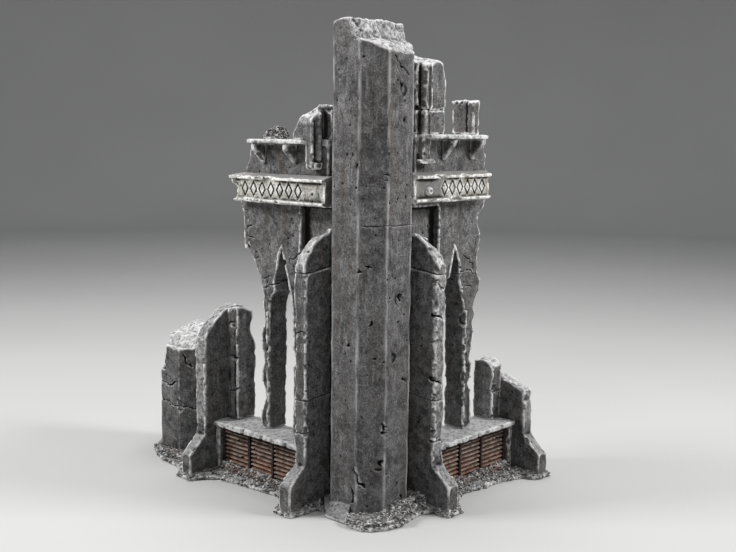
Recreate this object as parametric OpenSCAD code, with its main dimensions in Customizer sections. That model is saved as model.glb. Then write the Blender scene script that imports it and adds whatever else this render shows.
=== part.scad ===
// Miniature terrain ruin: an octagonal corner column with a broken lancet wall on each side.
// Z is up. The origin is on the table under the column's axis.
// The left wing runs towards -X with its outer face towards -Y.
// The right wing runs towards +Y with its outer face towards +X.
// A wing is drawn in its own frame: x is the distance along it, y the distance outwards.

/* [Column] */
// Width of the octagonal column across its flats
column_flats = 30; // [24:0.5:36]
// Width of each flat face that looks square to a wing
column_face = 14; // [10:0.5:18]
// Height of the column's highest broken point
column_top = 196; // [150:1:230]
// Height of the seam between the two drums
drum_joint = 117.5; // [60:0.5:150]
// Diameter of the dowel inside the seam
pin_diameter = 4; // [2:0.5:8]

/* [Window wall] */
// Outward distance of the wall's face from the column's axis
wall_face = 9.5; // [6:0.5:12]
// Outward distance of the wall's hidden inner face
wall_back = -1; // [-4:0.5:2]
// Outward distance of the set-back strip next to the column
strip_face = 5.3; // [3:0.1:6]
// Height of the top of the sill
sill_top = 24.5; // [18:0.5:30]
// Thickness of the sill
sill_thick = 2; // [1:0.5:4]
// Outward distance of the sill's front edge
sill_front = 18; // [14:0.5:22]
// Height at which the lancet arches spring
springing = 80; // [60:1:90]
// Width left of the mullion between the lancets
mullion_width = 4.5; // [3:0.5:7]

/* [Buttresses] */
// Start of the inner buttress along the wing
inner_start = 14.1; // [13:0.1:20]
// Start of the outer buttress along the wing
outer_start = 78.5; // [70:0.5:90]
// Thickness of a buttress
buttress_thick = 6.5; // [4:0.5:10]
// Outward distance of a buttress's face
buttress_face = 22.5; // [18:0.5:28]
// Outward distance of a buttress's foot
foot_face = 31; // [26:0.5:36]

/* [Name boards] */
// Height of the bottom of the boards
board_bottom = 123.5; // [110:0.5:135]
// Height of the boards
board_height = 13.5; // [8:0.5:18]
// Outward distance of the board's blank panel
board_face = 15; // [12:0.5:18]
// How far the rails stand out from the panel
rail_out = 1.5; // [0.5:0.5:3]

/* [Grille] */
// Number of slats in each panel
slat_count = 9; // [5:1:12]
// Height from one slat to the next
slat_pitch = 1.9; // [1.6:0.1:3]
// Width of an upright bar
bar_width = 1.2; // [0.8:0.1:2]

/* [Base] */
// Thickness of the ground base
base_thick = 3; // [2:0.5:6]

/* [Hidden] */
half = column_flats / 2;
side = column_face / 2;
inner_end = inner_start + buttress_thick;
outer_end = outer_start + buttress_thick - 0.2;
board_top = board_bottom + board_height;
sill_under = sill_top - sill_thick;
nib_start = 31;
lancet_near = 34;
far_edge = 71.3;
post_far = 76.2;
post_near = 26.4;
panel_starts = [27.6, 43.8, 59];
panel_ends = [42.6, 57.8, 75];
grille_back = 11.5;
grille_face = 14.4;
left_shelf_z = 148.4;
right_shelf_z = 151.1;
shelf_thick = 1.5;
seam_gap = 0.05;
stone = [0.42, 0.42, 0.4];
pale = [0.72, 0.71, 0.67];
rust = [0.4, 0.24, 0.17];
grit = [0.5, 0.49, 0.46];

// The eight corners of the column, grown outwards by g.
function octagon(g = 0) = let (a = half + g, b = side + g * 0.414) [
  [a, -b], [a, b], [b, a], [-b, a], [-a, b], [-a, -b], [-b, -a], [b, -a]
];

// Places a wing's own frame on the left.
module on_left() {
  rotate([0, 0, 180])
    children();
}

// Places a wing's own frame on the right.
module on_right() {
  rotate([0, 0, 90])
    mirror([0, 1, 0])
      children();
}

// A plate whose outline is seen from outside, from depth p0 to p1.
module plate(outline, p0, p1) {
  translate([0, p1, 0])
    rotate([90, 0, 0])
      linear_extrude(p1 - p0)
        polygon(outline);
}

// A rib whose outline is seen from the side, from s0 to s1 along the wing.
module rib(outline, s0, s1) {
  translate([s0, 0, 0])
    rotate([90, 0, 90])
      linear_extrude(s1 - s0)
        polygon(outline);
}

// A slab whose outline is seen from above.
module slab(outline, z0, z1) {
  translate([0, 0, z0])
    linear_extrude(z1 - z0)
      polygon(outline);
}

module brick(s0, s1, p0, p1, z0, z1) {
  translate([s0, p0, z0])
    cube([s1 - s0, p1 - p0, z1 - z0]);
}

// ---- Shared pieces ----

module ground_base() {
  color(grit)
    slab([
      [-133, 6], [-134, -5], [-128, -15], [-118, -20], [-111, -23.5], [-99, -24], [-90, -27],
      [-87, -32], [-77.5, -32.5], [-74.5, -27], [-69.5, -22], [-51, -20], [-35, -18.5],
      [-25.5, -24], [-22.5, -31.5], [-13, -32], [-12, -24], [-11.6, -17.5], [-4.6, -20.5],
      [3, -22], [10.3, -22], [16, -21.5], [19.5, -19.5], [23, -13], [24.3, -7.8], [22.5, 1.5],
      [21.5, 8], [24, 12.5], [32, 13], [32.5, 22.5], [27, 25], [19, 38.8], [20.5, 49.3],
      [21.5, 62.8], [25, 73.6], [31.5, 77], [32.5, 86], [27, 89], [10, 90], [-4, 89],
      [-12, 86], [-14, 40], [-16, 18], [-30, 13], [-60, 12], [-97, 13], [-100, 17.5],
      [-112, 19.5], [-124, 18.5], [-131, 13]
    ], 0, base_thick);
}

module column_foot() {
  color(stone) {
    slab([
      [-11, -11.1], [-11.4, -16.2], [-4.6, -19.9], [-1.5, -20.5], [-1.5, -15.05], [-7.05, -15.05]
    ], base_thick, 7);
    slab([
      [-10.4, -11.7], [-10.6, -15.4], [-4.4, -18.6], [-2.2, -18.9], [-2.2, -15.05], [-7.05, -15.05]
    ], 7, 8.8);
  }
}

module column_lower() {
  color(stone)
    difference() {
      slab(octagon(), base_thick, drum_joint);
      translate([0, 0, drum_joint - 10])
        cylinder(h = 20, d = pin_diameter + 0.2, $fn = 48);
      // Spalls along the arrises.
      translate([13.2, -9.6, 92])
        rotate([0, 0, 20])
          cube([4, 1.6, 4]);
      translate([6.4, -16.4, 38])
        rotate([0, 0, 30])
          cube([4, 1.6, 3]);
    }
}

module column_upper() {
  color(stone)
    difference() {
      slab(octagon(), drum_joint, column_top);
      translate([0, 0, drum_joint - 10])
        cylinder(h = 20, d = pin_diameter + 0.2, $fn = 48);
      // The side towards the right wing has broken away on a slope.
      plate([
        [2, column_top + 1], [2.4, column_top - 1.5], [4, column_top - 7.5],
        [9, column_top - 9], [half + 1, column_top - 13], [half + 1, column_top + 1]
      ], -half - 1, half + 1);
      // The far rim of the standing side is lower than its broken edge.
      plate([
        [-half - 1, column_top - 3], [-9, column_top - 1], [-2, column_top],
        [-2, column_top + 1], [-half - 1, column_top + 1]
      ], -half - 1, half + 1);
      translate([13.6, -4, 171])
        cube([3, 3, 4]);
    }
}

module column_pin() {
  color([0.6, 0.6, 0.62])
    translate([0, 0, drum_joint - 9.8])
      cylinder(h = 19.6, d = pin_diameter, $fn = 48);
}

module corner_rubble() {
  color(grit)
    difference() {
      union() {
        slab([
          [-1.4, -14], [-1.4, -20.3], [3, -21.4], [10.3, -21.3], [15.6, -20.8], [18.8, -19],
          [22.2, -12.7], [23.5, -7.6], [21.8, 1.5], [20.6, 8], [21, 13.9], [8.4, 13.9]
        ], base_thick, 5);
        slab([
          [2, -14], [3, -19], [9.5, -19.4], [14.5, -18.4], [17.4, -16.6], [19.8, -11.8],
          [20.6, -7.4], [19.2, 1.5], [18.2, 8], [18.6, 13.9], [9, 13.9]
        ], 5, 7);
      }
      slab(octagon(seam_gap), 0, 20);
    }
}

// ---- Pieces of a wing ----

module plinth_wall() {
  slab([
    [half, wall_back], [outer_start, wall_back], [outer_start, grille_back],
    [inner_end, grille_back], [inner_end, strip_face], [half, strip_face]
  ], base_thick, sill_under);
}

// The sill's plan; bites are the places where its front edge has chipped, as [s, width, depth].
module sill(bites) {
  difference() {
    slab([
      [half, wall_back], [outer_start, wall_back], [outer_start, sill_front],
      [inner_end, sill_front], [inner_end, strip_face], [half, strip_face]
    ], sill_under, sill_top);
    for (b = bites)
      slab([
        [b[0], sill_front + 1], [b[0] + 0.4 * b[1], sill_front - b[2]],
        [b[0] + b[1], sill_front + 1]
      ], sill_under - 1, sill_top + 1);
  }
}

module grille_posts() {
  brick(inner_end, post_near, grille_back, 16.5, base_thick, sill_under);
  brick(post_far, outer_start, grille_back, 16.5, base_thick, sill_under);
}

module grille_bars() {
  for (s = [post_near, panel_ends[0], panel_ends[1], panel_ends[2]])
    brick(s, s + bar_width, grille_back, grille_face, base_thick, sill_under);
  brick(post_near, post_far, grille_back, grille_face - 0.3, sill_under - 1.2, sill_under);
}

module louvre_slats() {
  for (k = [0 : 2])
    for (i = [0 : slat_count - 1]) {
      z = base_thick + 0.8 + i * slat_pitch;
      rib([
        [grille_back, z + 1.1], [grille_face - 0.7, z], [grille_face - 0.4, z + 0.75],
        [grille_back, z + 1.85]
      ], panel_starts[k], panel_ends[k]);
    }
}

// Takes from a buttress the part of its heel that the column's flat would touch.
module clear_of_column() {
  difference() {
    children();
    brick(inner_start - 1, half + seam_gap, 0, 8.2, 0, 130);
  }
}

module buttress_foot() {
  clear_of_column()
    rib([
      [strip_face, base_thick], [foot_face, base_thick], [foot_face, 12],
      [buttress_face, 19.5], [buttress_face, 46], [strip_face, 47.6]
    ], inner_start, inner_end);
}

module buttress_shaft() {
  clear_of_column()
    rib([
      [strip_face, 47.6], [buttress_face, 46], [buttress_face, 97.5], [strip_face, 99.8]
    ], inner_start, inner_end);
}

module buttress_head(outline) {
  clear_of_column()
    rib(outline, inner_start + 0.7, inner_end);
}

module near_jamb() {
  brick(half, nib_start, wall_back, strip_face, sill_top, springing);
  brick(nib_start, lancet_near, wall_back, wall_face, sill_top, springing);
}

// The wall over the windows: set back next to the column, full depth beyond the nib.
module spandrel(outline) {
  intersection() {
    plate(outline, wall_back, wall_face);
    union() {
      brick(half, 90, wall_back - 1, strip_face, 70, 130);
      brick(nib_start, 90, wall_back - 1, wall_face + 1, 70, 130);
    }
  }
}

module name_board(outline, near_end) {
  difference() {
    union() {
      plate(outline, wall_face, board_face);
      intersection() {
        plate(outline, wall_face, board_face + rail_out);
        union() {
          brick(0, 90, board_face - 1, 20, board_top - 2.7, board_top + 1);
          brick(0, 90, board_face - 1, 19, board_bottom - 1, board_bottom + 2);
        }
      }
    }
    brick(0, near_end, 0, 20, board_bottom - 1, board_top + 1);
    slab(octagon(seam_gap), board_bottom - 1, board_top + 1);
  }
}

module board_boss(s, z) {
  translate([s, board_face + 0.9, z])
    rotate([90, 0, 0])
      difference() {
        cylinder(h = 0.9, d = 3.4, $fn = 40);
        translate([0, 0, -1])
          cylinder(h = 1.5, d = 1.2, $fn = 32);
      }
}

module corbels(starts, top, drop) {
  for (s = starts)
    rib([
      [wall_face, top], [16.2, top], [16.2, top - 2.6], [wall_face, top - drop]
    ], s, s + 2.6);
}

module end_foot() {
  rib([
    [wall_back, base_thick], [foot_face, base_thick], [foot_face, 11],
    [buttress_face, 19], [buttress_face, 20], [wall_back, 20]
  ], outer_start, outer_end);
}

module rubble_bank(front) {
  rib([
    [14.6, base_thick], [front, base_thick], [front - 0.8, 5], [16, 6.8], [14.6, 7.6]
  ], post_near, post_far);
}

// ---- Left wing ----

module left_plinth_wall() {
  color(stone)
    on_left()
      plinth_wall();
}

module left_sill() {
  color(pale)
    on_left()
      sill([[30, 3, 1.6], [45, 2.5, 1.8], [57, 3.5, 2.2]]);
}

module left_grille_posts() {
  color(stone)
    on_left()
      grille_posts();
}

module left_grille_bars() {
  color(rust)
    on_left()
      grille_bars();
}

module left_louvre_slats() {
  color(rust)
    on_left()
      louvre_slats();
}

module left_buttress_foot() {
  color(stone)
    on_left()
      buttress_foot();
}

module left_buttress_shaft() {
  color(stone)
    on_left()
      buttress_shaft();
}

module left_buttress_head() {
  color(stone)
    on_left()
      buttress_head([
        [strip_face, 99.8], [buttress_face, 97.5], [22.6, 102.3], [20, 107], [15.8, 110.7],
        [10.2, 113.3], [8.5, 115], [strip_face, 116.5]
      ]);
}

module left_near_jamb() {
  color(stone)
    on_left()
      near_jamb();
}

module left_mullion() {
  color(stone)
    on_left()
      plate([
        [50.6, sill_top], [50.6 + mullion_width, sill_top], [54.8, 33], [52.8, 39], [54.6, 45],
        [53.8, 53], [55, 66], [53, 72], [54.5, 77], [54.5, springing], [49.8, springing],
        [50.2, 52]
      ], wall_back, wall_face);
}

module left_spandrel() {
  color(stone)
    on_left()
      spandrel([
        [half, springing], [34, springing], [34.5, 83], [36, 88], [38, 94], [40, 100],
        [42, 105.5], [44.5, 101.5], [45.5, 95], [47.3, 90], [46.3, 86], [49.3, 82.5],
        [49.8, springing], [54.5, springing], [54, 82], [55, 86], [57, 91.5], [59.5, 94.5],
        [61.5, 100], [63.5, 106], [65.2, 101.5], [67, 102.5], [67.3, 107], [67, 117],
        [69, 121.5], [69, board_bottom], [half, board_bottom]
      ]);
}

module left_far_jamb() {
  color(stone)
    on_left()
      rib([
        [-1, sill_top], [wall_face, sill_top], [wall_face, 75.5], [5, 75], [1, 74],
        [0.5, 70], [2, 65], [-1, 58]
      ], far_edge, outer_start);
}

module left_lintel() {
  color(stone)
    on_left()
      plate([
        [half, board_bottom], [69, board_bottom], [68, 128], [66.2, 132],
        [65.7, board_top], [half, board_top]
      ], wall_back, wall_face);
}

module left_name_board() {
  color(pale)
    on_left()
      name_board([
        [8, board_bottom], [66.6, board_bottom], [65, 127], [65.6, 130], [68.2, 132],
        [68.5, 136], [64.5, board_top], [8, board_top]
      ], 11.1);
}

module left_board_boss() {
  color(stone)
    on_left()
      board_boss(16.7, 128.6);
}

module left_frieze() {
  color(stone)
    on_left()
      plate([
        [half, board_top], [65.5, board_top], [64, 139.5], [62.3, 142], [62.3, 145],
        [60.5, left_shelf_z], [half, left_shelf_z]
      ], wall_back, wall_face);
}

module left_corbels() {
  color(stone)
    on_left()
      corbels([32.6, 51.7], left_shelf_z, 9.4);
}

module left_shelf() {
  color(pale)
    on_left()
      slab([
        [half, wall_back], [60.5, wall_back], [61, 9.5], [58, 14.5], [55.6, 17], [22.6, 17],
        [22.6, wall_face], [half, wall_face]
      ], left_shelf_z, left_shelf_z + shelf_thick);
}

module left_upper_pier() {
  color(stone)
    on_left()
      difference() {
        union() {
          plate([
            [18.8, 149.9], [30.5, 149.9], [29.5, 153], [27.5, 156], [26, 158], [25.4, 161.7],
            [22, 163.8], [18.8, 163.3]
          ], wall_back, 15);
          plate([
            [half, 149.9], [18.9, 149.9], [18.9, 162], [17, 161], [half, 162.4]
          ], wall_back, 7.4);
          brick(18.8, 22.5, wall_face, 15, 139, 150);
          brick(17.4, 22.5, wall_face, 14.2, 138.2, 141);
        }
        brick(18, 19.9, 8.6, 10.8, 150, 160.5);
        brick(18, 19.5, 12.6, 13.4, 142, 161);
      }
}

module left_end_foot() {
  color(stone)
    on_left()
      end_foot();
}

module left_end_buttress() {
  color(stone)
    on_left()
      rib([
        [wall_back, 20], [buttress_face, 20], [buttress_face, 60], [21, 64.5], [18, 68.5],
        [14.7, 71], [10.7, 74.4], [4, 76], [wall_back, 74.5]
      ], outer_start, outer_end);
}

module left_rubble_bank() {
  color(grit) {
    on_left()
      rubble_bank(18.2);
    on_left()
      slab([
        [86, 16.5], [87, 25], [98, 22.5], [110, 22], [117, 18.5], [117, 16.5]
      ], base_thick, 5);
  }
}

module left_stub_column() {
  color(stone)
    translate([-114.4, 0, 0])
      difference() {
        slab(octagon(), base_thick, 62);
        rib([
          [-half - 1, 53.5], [-10, 52], [-6, 56], [2, 57], [9, 60.5], [half + 1, 59],
          [half + 1, 63], [-half - 1, 63]
        ], -half - 1, half + 1);
      }
}

module left_coping_rubble() {
  color(grit)
    on_left()
      plate([
        [38.6, 149.9], [51.5, 149.9], [49.8, 151.8], [47.5, 153.8], [44, 155],
        [42, 154], [40.5, 151.4]
      ], 6, 13.5);
}

// ---- Right wing ----

module right_plinth_wall() {
  color(stone)
    on_right()
      plinth_wall();
}

module right_sill() {
  color(pale)
    on_right()
      sill([[27.5, 4, 2.4], [50, 2, 1.4]]);
}

module right_grille_posts() {
  color(stone)
    on_right()
      grille_posts();
}

module right_grille_bars() {
  color(rust)
    on_right()
      grille_bars();
}

module right_louvre_slats() {
  color(rust)
    on_right()
      louvre_slats();
}

module right_buttress_foot() {
  color(stone)
    on_right()
      buttress_foot();
}

module right_buttress_shaft() {
  color(stone)
    on_right()
      buttress_shaft();
}

module right_buttress_head() {
  color(stone)
    on_right()
      buttress_head([
        [strip_face, 99.8], [buttress_face, 97.5], [22.7, 105.5], [20.3, 108.6],
        [16.1, 112.3], [9.3, 113.6], [strip_face, 115.2]
      ]);
}

module right_near_jamb() {
  color(stone)
    on_right()
      near_jamb();
}

module right_mullion() {
  color(stone)
    on_right()
      plate([
        [50.4, sill_top], [50.4 + mullion_width, sill_top], [54.8, 44], [53.6, 46], [55, 59],
        [56.6, 69], [55.2, 71.5], [57.6, 74.5], [56.4, 78], [56.8, springing],
        [49, springing], [49.4, 56]
      ], wall_back, wall_face);
}

module right_spandrel() {
  color(stone)
    on_right()
      spandrel([
        [half, springing], [34, springing], [34.5, 83], [36, 88], [38, 94], [39.6, 101],
        [41.3, 106.4], [43.6, 103.5], [45.6, 99], [45.4, 91], [47.4, 86], [49, springing],
        [56.8, springing], [58.6, 82.5], [60.3, 86], [60.2, 91], [58.5, 94.5], [57.7, 99],
        [59.6, 104.5], [60.8, 109.5], [57.9, 114], [57.6, 118.5], [61.7, 122],
        [61.7, board_bottom], [half, board_bottom]
      ]);
}

module right_far_jamb() {
  color(stone)
    on_right()
      rib([
        [wall_back, sill_top], [wall_face, sill_top], [wall_face, 49], [7.6, 50.2],
        [5, 51.4], [-0.8, 51.2]
      ], far_edge, outer_start);
}

module right_lintel() {
  color(stone)
    on_right()
      plate([
        [half, board_bottom], [61.7, board_bottom], [63.2, 128], [62.5, 133],
        [63.4, board_top], [half, board_top]
      ], wall_back, wall_face);
}

module right_name_board() {
  color(pale)
    on_right()
      name_board([
        [6, board_bottom], [57, board_bottom], [57.6, 128], [57.2, 132.6], [58.4, 134.4],
        [58, board_top], [6, board_top]
      ], 8.5);
}

module right_board_boss() {
  color(stone)
    on_right()
      board_boss(16.7, 130.4);
}

module right_frieze() {
  color(stone)
    on_right()
      plate([
        [half, board_top], [63.4, board_top], [61.2, 140], [62.3, 143], [61.2, 146.4],
        [61.9, right_shelf_z], [half, right_shelf_z]
      ], wall_back, wall_face);
}

module right_corbels() {
  color(stone)
    on_right()
      corbels([31.6, 50.4], right_shelf_z, 9.2);
}

module right_shelf() {
  color(pale)
    on_right()
      slab([
        [half, wall_back], [61.5, wall_back], [61.8, 9.5], [58.5, 12.5], [53.4, 17], [16.5, 17],
        [16.5, 13.1], [20.7, 13.1], [20.7, wall_face], [half, wall_face]
      ], right_shelf_z, right_shelf_z + shelf_thick);
}

module right_pilaster_foot() {
  color(stone)
    on_right() {
      brick(12.7, 22.4, wall_face, 14.2, 141.2, 142.6);
      brick(16, 20.6, wall_face, 13, 142.6, 152.6);
    }
}

module right_pier_base() {
  color(stone)
    on_right()
      difference() {
        union() {
          brick(half, 19.6, wall_back, wall_face, 152.6, 162.2);
          brick(19.5, 30.4, wall_back, 13, 152.6, 162.2);
        }
        brick(18, 20.2, 9.6, 10.6, 152, 163);
        brick(29.2, 31, 11.8, 14, 152, 163);
      }
}

module right_upper_pier() {
  color(stone)
    on_right()
      difference() {
        union() {
          rib([
            [wall_back, 162.2], [wall_face, 162.2], [wall_face, 185.4], [7.4, 188.6],
            [2.7, 190.4], [wall_back, 189.5]
          ], half, 19.6);
          plate([
            [19.5, 162.2], [30.4, 162.2], [30.6, 164], [29.3, 165.5], [30.2, 170],
            [29.7, 176.4], [27.5, 181], [24, 182.3], [19.5, 184.2]
          ], wall_back, 13);
        }
        brick(18, 20.2, 9.6, 10.6, 162, 176);
        brick(14, 16, 7, 7.8, 162, 180);
        brick(29, 31, 11.8, 14, 162, 185);
      }
}

module right_fin_pier() {
  color(stone)
    on_right()
      difference() {
        rib([
          [0.5, 152.6], [12.2, 152.6], [12.2, 166.6], [6, 167.6], [0.5, 166.4]
        ], 49.2, 53.2);
        for (p = [2.4, 5.2, 8])
          brick(49, 49.9, p, p + 0.9, 153.6, 170);
      }
}

module right_end_foot() {
  color(stone)
    on_right()
      end_foot();
}

module right_end_buttress() {
  color(stone)
    on_right()
      rib([
        [wall_back, 20], [buttress_face, 20], [buttress_face, 33.5], [21.2, 34.8],
        [buttress_face, 36], [buttress_face, 38.8], [16, 41.4], [9.9, 44],
        [9.7, 48.6], [4, 50.6], [wall_back, 49.5]
      ], outer_start, outer_end);
}

module right_rubble_bank() {
  color(grit)
    on_right()
      rubble_bank(18.2);
}

ground_base();
column_foot();
column_lower();
column_upper();
column_pin();
corner_rubble();
left_plinth_wall();
left_sill();
left_grille_posts();
left_grille_bars();
left_louvre_slats();
left_buttress_foot();
left_buttress_shaft();
left_buttress_head();
left_near_jamb();
left_mullion();
left_spandrel();
left_far_jamb();
left_lintel();
left_name_board();
left_board_boss();
left_frieze();
left_corbels();
left_shelf();
left_upper_pier();
left_end_foot();
left_end_buttress();
left_rubble_bank();
left_stub_column();
left_coping_rubble();
right_plinth_wall();
right_sill();
right_grille_posts();
right_grille_bars();
right_louvre_slats();
right_buttress_foot();
right_buttress_shaft();
right_buttress_head();
right_near_jamb();
right_mullion();
right_spandrel();
right_far_jamb();
right_lintel();
right_name_board();
right_board_boss();
right_frieze();
right_corbels();
right_shelf();
right_pier_base();
right_upper_pier();
right_pilaster_foot();
right_fin_pier();
right_end_foot();
right_end_buttress();
right_rubble_bank();
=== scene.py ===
"""A miniature gothic corner ruin, weathered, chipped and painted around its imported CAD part.

Each CAD node is turned into a field of signed distances, worn there the way cast stone wears, and
meshed again. Fields are worked in millimetres; the finished meshes are in metres, in the CAD frame.
"""

import math

import bmesh
import bpy
import numpy as np
import openvdb as vdb
from mathutils import Matrix, Vector


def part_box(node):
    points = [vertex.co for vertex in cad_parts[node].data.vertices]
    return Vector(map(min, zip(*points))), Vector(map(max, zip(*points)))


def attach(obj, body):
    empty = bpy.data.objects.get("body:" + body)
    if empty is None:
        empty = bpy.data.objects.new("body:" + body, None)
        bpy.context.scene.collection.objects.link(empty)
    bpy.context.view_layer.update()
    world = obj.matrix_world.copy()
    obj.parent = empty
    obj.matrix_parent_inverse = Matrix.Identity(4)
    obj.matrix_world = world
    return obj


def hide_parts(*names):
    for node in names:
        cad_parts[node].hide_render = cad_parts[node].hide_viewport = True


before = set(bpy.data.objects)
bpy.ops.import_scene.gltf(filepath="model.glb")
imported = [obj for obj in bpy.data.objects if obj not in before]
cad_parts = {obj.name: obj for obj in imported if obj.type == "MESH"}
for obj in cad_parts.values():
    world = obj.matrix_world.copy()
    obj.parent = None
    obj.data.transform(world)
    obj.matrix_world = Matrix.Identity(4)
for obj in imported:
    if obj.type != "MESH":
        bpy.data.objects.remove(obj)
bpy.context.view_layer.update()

MM = 0.001
COARSE = 1.0
WALL_VOXEL = 0.32 * COARSE
COLUMN_VOXEL = 0.36 * COARSE
TRIM_VOXEL = 0.26 * COARSE
SLAT_VOXEL = 0.2 * COARSE
GROUND_VOXEL = 0.45 * COARSE
BAND = 7  # how many voxels each side of the surface hold true distances
TABLE_SIZE = 61
SALT_STEP = 7.31  # how far apart the noises of two salts are read from the table
AXIS_STEP = 3.7
NOISE_TABLE = np.random.default_rng(11).uniform(-1, 1, (TABLE_SIZE,) * 3).astype(np.float32)


# ---- Fields ----

def cad_mesh(node):
    """The corners of a CAD node, in millimetres, and its triangles."""
    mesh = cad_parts[node].data
    mesh.calc_loop_triangles()
    points = np.empty(len(mesh.vertices) * 3, np.float32)
    mesh.vertices.foreach_get("co", points)
    triangles = np.empty(len(mesh.loop_triangles) * 3, np.int32)
    mesh.loop_triangles.foreach_get("vertices", triangles)
    return points.reshape(-1, 3) / MM, triangles.reshape(-1, 3).astype(np.uint32)


def unit(direction):
    """A direction as an array of length 1."""
    return np.array(direction, float) / np.linalg.norm(direction)


def blurred(values, radius):
    """values averaged over a cube that reaches radius cells each way."""
    for axis in range(3):
        padded = np.pad(values, [(radius + 1, radius) if a == axis else (0, 0) for a in range(3)], "edge")
        total = np.cumsum(padded, axis=axis, dtype=np.float32)
        count = values.shape[axis]
        upper = np.take(total, np.arange(2 * radius + 1, 2 * radius + 1 + count), axis)
        lower = np.take(total, np.arange(count), axis)
        values = (upper - lower) / (2 * radius + 1)
    return values


class Field:
    """The union of some CAD nodes as signed distances in millimetres, negative inside."""

    def __init__(self, nodes, voxel, seed, margin=5, reshape=None):
        self.voxel = voxel
        self.random = np.random.default_rng(seed)
        meshes = [cad_mesh(node) for node in nodes]
        if reshape is not None:
            meshes = [(reshape(points), triangles) for points, triangles in meshes]
        low = np.min([points.min(0) for points, _ in meshes], axis=0)
        high = np.max([points.max(0) for points, _ in meshes], axis=0)
        self.first = np.floor(low / voxel).astype(int) - margin
        self.start = tuple(int(i) for i in self.first)
        self.shape = np.ceil(high / voxel).astype(int) + margin + 1 - self.first
        self.axes = [(self.first[a] + np.arange(self.shape[a])) * voxel for a in range(3)]
        self.d = self.distances(*meshes[0])
        if len(meshes) > 1:
            for points, triangles in meshes[1:]:
                self.d = np.minimum(self.d, self.distances(points, triangles))
            swollen = 0.5 * voxel  # closes the faces where the nodes touch
            points, quads = self.surface(swollen)
            self.d = self.distances(points, quads=quads) + np.float32(swollen)
        self.broken = np.zeros((1, 1, 1), np.float32)

    def distances(self, points, triangles=None, quads=None):
        """The signed distances of every cell to a closed surface."""
        faces = {"triangles": triangles} if quads is None else {"quads": quads}
        grid = vdb.FloatGrid.createLevelSetFromPolygons(
            np.ascontiguousarray(points, dtype=np.float32),
            transform=vdb.createLinearTransform(voxelSize=self.voxel), halfWidth=float(BAND), **faces)
        dense = np.zeros(self.shape, np.float32)
        grid.copyToArray(dense, ijk=self.start)
        return dense

    def surface(self, level=0.0):
        """The surface where the distance is level, as points and quads."""
        grid = vdb.FloatGrid(BAND * self.voxel)
        grid.copyFromArray(np.ascontiguousarray(self.d, dtype=np.float32), ijk=self.start)
        grid.transform = vdb.createLinearTransform(voxelSize=self.voxel)
        points, quads = grid.convertToQuads(isovalue=level)
        return points, np.ascontiguousarray(quads[:, ::-1])

    def spread(self):
        """The x, y and z of the cells, ready to be combined into values for every cell."""
        x, y, z = (axis.astype(np.float32) for axis in self.axes)
        return x[:, None, None], y[None, :, None], z[None, None, :]

    def noise(self, period, salt=0):
        """Smooth noise from -1 to 1 whose bumps are about period millimetres apart."""
        out = NOISE_TABLE
        for axis in range(3):
            u = self.axes[axis] / period + SALT_STEP * salt + AXIS_STEP * axis
            cell = np.floor(u).astype(int)
            share = (u - cell).astype(np.float32)
            share = share * share * (3 - 2 * share)
            share = share.reshape([-1 if a == axis else 1 for a in range(3)])
            near = np.take(out, cell % TABLE_SIZE, axis)
            far = np.take(out, (cell + 1) % TABLE_SIZE, axis)
            out = near + (far - near) * share
        return out

    def convexity(self, reach):
        """How far each point sticks out of its surroundings, as a share of reach."""
        radius = max(1, round(reach / self.voxel))
        return (blurred(self.d, radius) - self.d) / reach

    def round_edges(self, reach, most, patch=9.0, salt=3):
        """Wears edges down, more in some patches than in others."""
        wear = np.clip(0.5 + 0.9 * self.noise(patch, salt), 0, 1) * most
        self.d += wear * np.clip(self.convexity(reach) * reach, 0, None)

    def roughen(self, bumps, salt=0):
        """Adds bumps, each given as (distance apart, height)."""
        for i, (period, height) in enumerate(bumps):
            if period > 2.2 * self.voxel:
                self.d += np.float32(height) * self.noise(period, salt + i + 1)

    def window(self, centre, reach):
        """The slices and coordinates of the cells within reach of centre."""
        low = np.floor((np.asarray(centre) - reach) / self.voxel).astype(int) - self.first
        high = np.ceil((np.asarray(centre) + reach) / self.voxel).astype(int) - self.first + 1
        low, high = np.clip(low, 0, self.shape), np.clip(high, 0, self.shape)
        if (high - low < 2).any():
            return None, None
        cells = tuple(slice(a, b) for a, b in zip(low, high))
        x, y, z = (self.axes[a][cells[a]].astype(np.float32) for a in range(3))
        return cells, (x[:, None, None], y[None, :, None], z[None, None, :])

    def lump(self, centre, size, squash=(1, 1, 1), sides=8, offset_range=(0.72, 1.08)):
        """A random stone with flat faces, as its cells and its distances there."""
        cells, at = self.window(centre, size * 1.7)
        if cells is None:
            return None, None
        normals = self.random.normal(size=(sides, 3))
        normals /= np.linalg.norm(normals, axis=1)[:, None]
        offsets = size * self.random.uniform(*offset_range, sides)
        x, y, z = ((at[a] - centre[a]) / squash[a] for a in range(3))
        shape = np.sqrt(x * x + y * y + z * z) - size * 1.25
        for n, offset in zip(normals.astype(np.float32), offsets):
            shape = np.maximum(shape, n[0] * x + n[1] * y + n[2] * z - np.float32(offset))
        return cells, shape.astype(np.float32)

    def bite(self, centre, size, squash=(1, 1, 1)):
        """Breaks an angular piece out of the solid."""
        cells, shape = self.lump(centre, size, squash)
        if cells is not None:
            self.d[cells] = np.maximum(self.d[cells], -shape)

    def stud(self, centre, size, squash=(1, 1, 1)):
        """Adds an angular stone to the solid."""
        cells, shape = self.lump(centre, size, squash)
        if cells is not None:
            self.d[cells] = np.minimum(self.d[cells], shape)

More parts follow.
